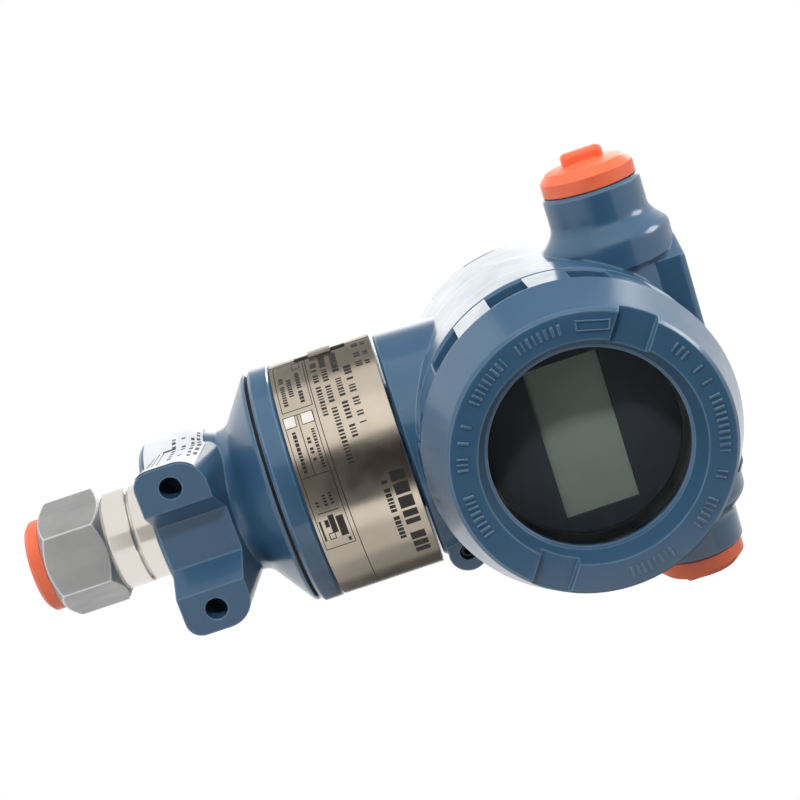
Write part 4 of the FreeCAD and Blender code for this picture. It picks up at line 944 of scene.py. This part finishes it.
label_rows = [LABEL_STEP * k for k in range(round(LABEL_LENGTH / LABEL_STEP) + 1)]
label_columns = [LABEL_FRONT + (LABEL_BACK - LABEL_FRONT) * k / LABEL_COLUMNS
                 for k in range(LABEL_COLUMNS + 1)]
corners = [on_label(depth, along, FILM_LIFT) for depth in label_columns for along in label_rows]
wide = len(label_rows)
faces = [(i * wide + j, i * wide + j + 1, (i + 1) * wide + j + 1, (i + 1) * wide + j)
         for i in range(LABEL_COLUMNS) for j in range(wide - 1)]
label_wrap = new_mesh("label_wrap", corners, faces, film)
label_wrap.data.shade_smooth()
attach(label_wrap, "module")
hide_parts("ear_label")
print("label wrapped with", len(faces), "faces")

# %% [markdown]
# ## The label's print
#
# The film lies on two surfaces: the side of the ear, which is seen almost edge-on, and past a crease
# the round base, which faces the front more. So the print's first coordinate is how far across the
# label a mark seems to lie. Up to the crease one step of it covers 7 mm of film, and past it about
# half of that, so the bars look even on both.

# %% Print on the label
CREASE_DEPTH = -10.0             # where the side of the ear gives way to the round base
CREASE_SPREAD = 3.3              # how wide the part on the side of the ear seems
ROUND_STRETCH = 3.2              # millimetres of film for each one that is seen past the crease


def on_film(spread, along):
    """A point just above the film, from how far across and how far up the label it seems to lie."""
    if spread < CREASE_SPREAD:
        depth = LABEL_FRONT + (CREASE_DEPTH - LABEL_FRONT) * spread / CREASE_SPREAD
    else:
        depth = CREASE_DEPTH + (spread - CREASE_SPREAD) * ROUND_STRETCH
    return on_label(depth, along, INK_LIFT)


label_marks = [(0.6, 3.6, 6.3, 6.6), (0.6, 3.6, 4.9, 5.2), (3.5, 3.75, 6.3, 9.6)]
label_marks += bar_row(0.8, 3.0, 3.2, 4.2, seed=21, width=0.4, gap=0.25)
for row, (low, high) in enumerate(((9.2, 10.4), (12.3, 13.5), (15.0, 15.9), (16.5, 17.4))):
    start = 1.0 + 0.3 * (row % 2)
    stop = 6.4 - 0.8 * (row % 3)
    label_marks += bar_row(start, stop, low, high, seed=30 + row, width=0.42, gap=0.3)
patches("label_print", on_film, label_marks, ink("label_ink", srgb(74, 76, 82)),
        "module", step=0.25)
print(len(label_marks), "marks on the label")

# %% [markdown]
# ## Raised marks on the front cover
#
# The casting has raised marks round the face's ring, between the two wrench slots. They are plain
# blocks here, just under half a millimetre proud, with a small open frame beside the upper slot.
# Their sides lean in a little, as those of anything cast must, so that the edges catch the light.

# %% Raise the marks
MARK_PROUD = 0.45                # how far a mark stands out of the face
MARK_ROOT = 0.05                 # how far its foot is sunk into the face
MARK_DRAFT = 0.14                # how far each edge leans in: millimetres across, degrees along
MARK_INNER, MARK_OUTER = 34.1, 37.2
FRAME_START, FRAME_STOP = 156.5, 172
FRAME_SIDE, FRAME_RULE = 1, 0.5          # the frame's sides in degrees, its rules in millimetres


def raised_blocks(name, arcs, finish):
    """Small blocks on the face's ring: (start, stop, inner, outer), degrees from +X towards +Z."""
    corners, faces = [], []
    for start, stop, inner, outer in arcs:
        base = len(corners)
        for level, draft in ((COVER_FACE + MARK_ROOT, 0.0), (COVER_FACE - MARK_PROUD, MARK_DRAFT)):
            for turn, radius in ((start + draft, inner + draft), (stop - draft, inner + draft),
                                 (stop - draft, outer - draft), (start + draft, outer - draft)):
                around = math.radians(turn)
                corners.append(Vector((radius * math.cos(around), level,
                                       HEAD_AXIS + radius * math.sin(around))) * MM)
        faces.append([base + k for k in (4, 5, 6, 7)])
        for k in range(4):
            faces.append([base + k, base + (k + 1) % 4, base + 4 + (k + 1) % 4, base + 4 + k])
    piece = new_mesh(name, corners, faces, finish)
    shape = bmesh.new()
    shape.from_mesh(piece.data)
    bmesh.ops.recalc_face_normals(shape, faces=shape.faces)
    shape.to_mesh(piece.data)
    shape.free()
    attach(piece, "front_cover")


mark_arcs = []
for start, stop in ((178, 200), (206, 229), (238, 264), (270, 291), (0, 22), (36, 52), (60, 66),
                    (72, 114), (120, 129)):
    for low, high, _, _ in bar_row(start, stop, 0, 0, seed=start, width=1.3, gap=1.5):
        mark_arcs.append((low, high, MARK_INNER, MARK_OUTER))
mark_arcs += [(FRAME_START, FRAME_START + FRAME_SIDE, MARK_INNER, MARK_OUTER),
              (FRAME_STOP - FRAME_SIDE, FRAME_STOP, MARK_INNER, MARK_OUTER),
              (FRAME_START, FRAME_STOP, MARK_INNER, MARK_INNER + FRAME_RULE),
              (FRAME_START, FRAME_STOP, MARK_OUTER - FRAME_RULE, MARK_OUTER)]
raised_blocks("cover_marks", mark_arcs, enamel)
print(len(mark_arcs), "raised marks")
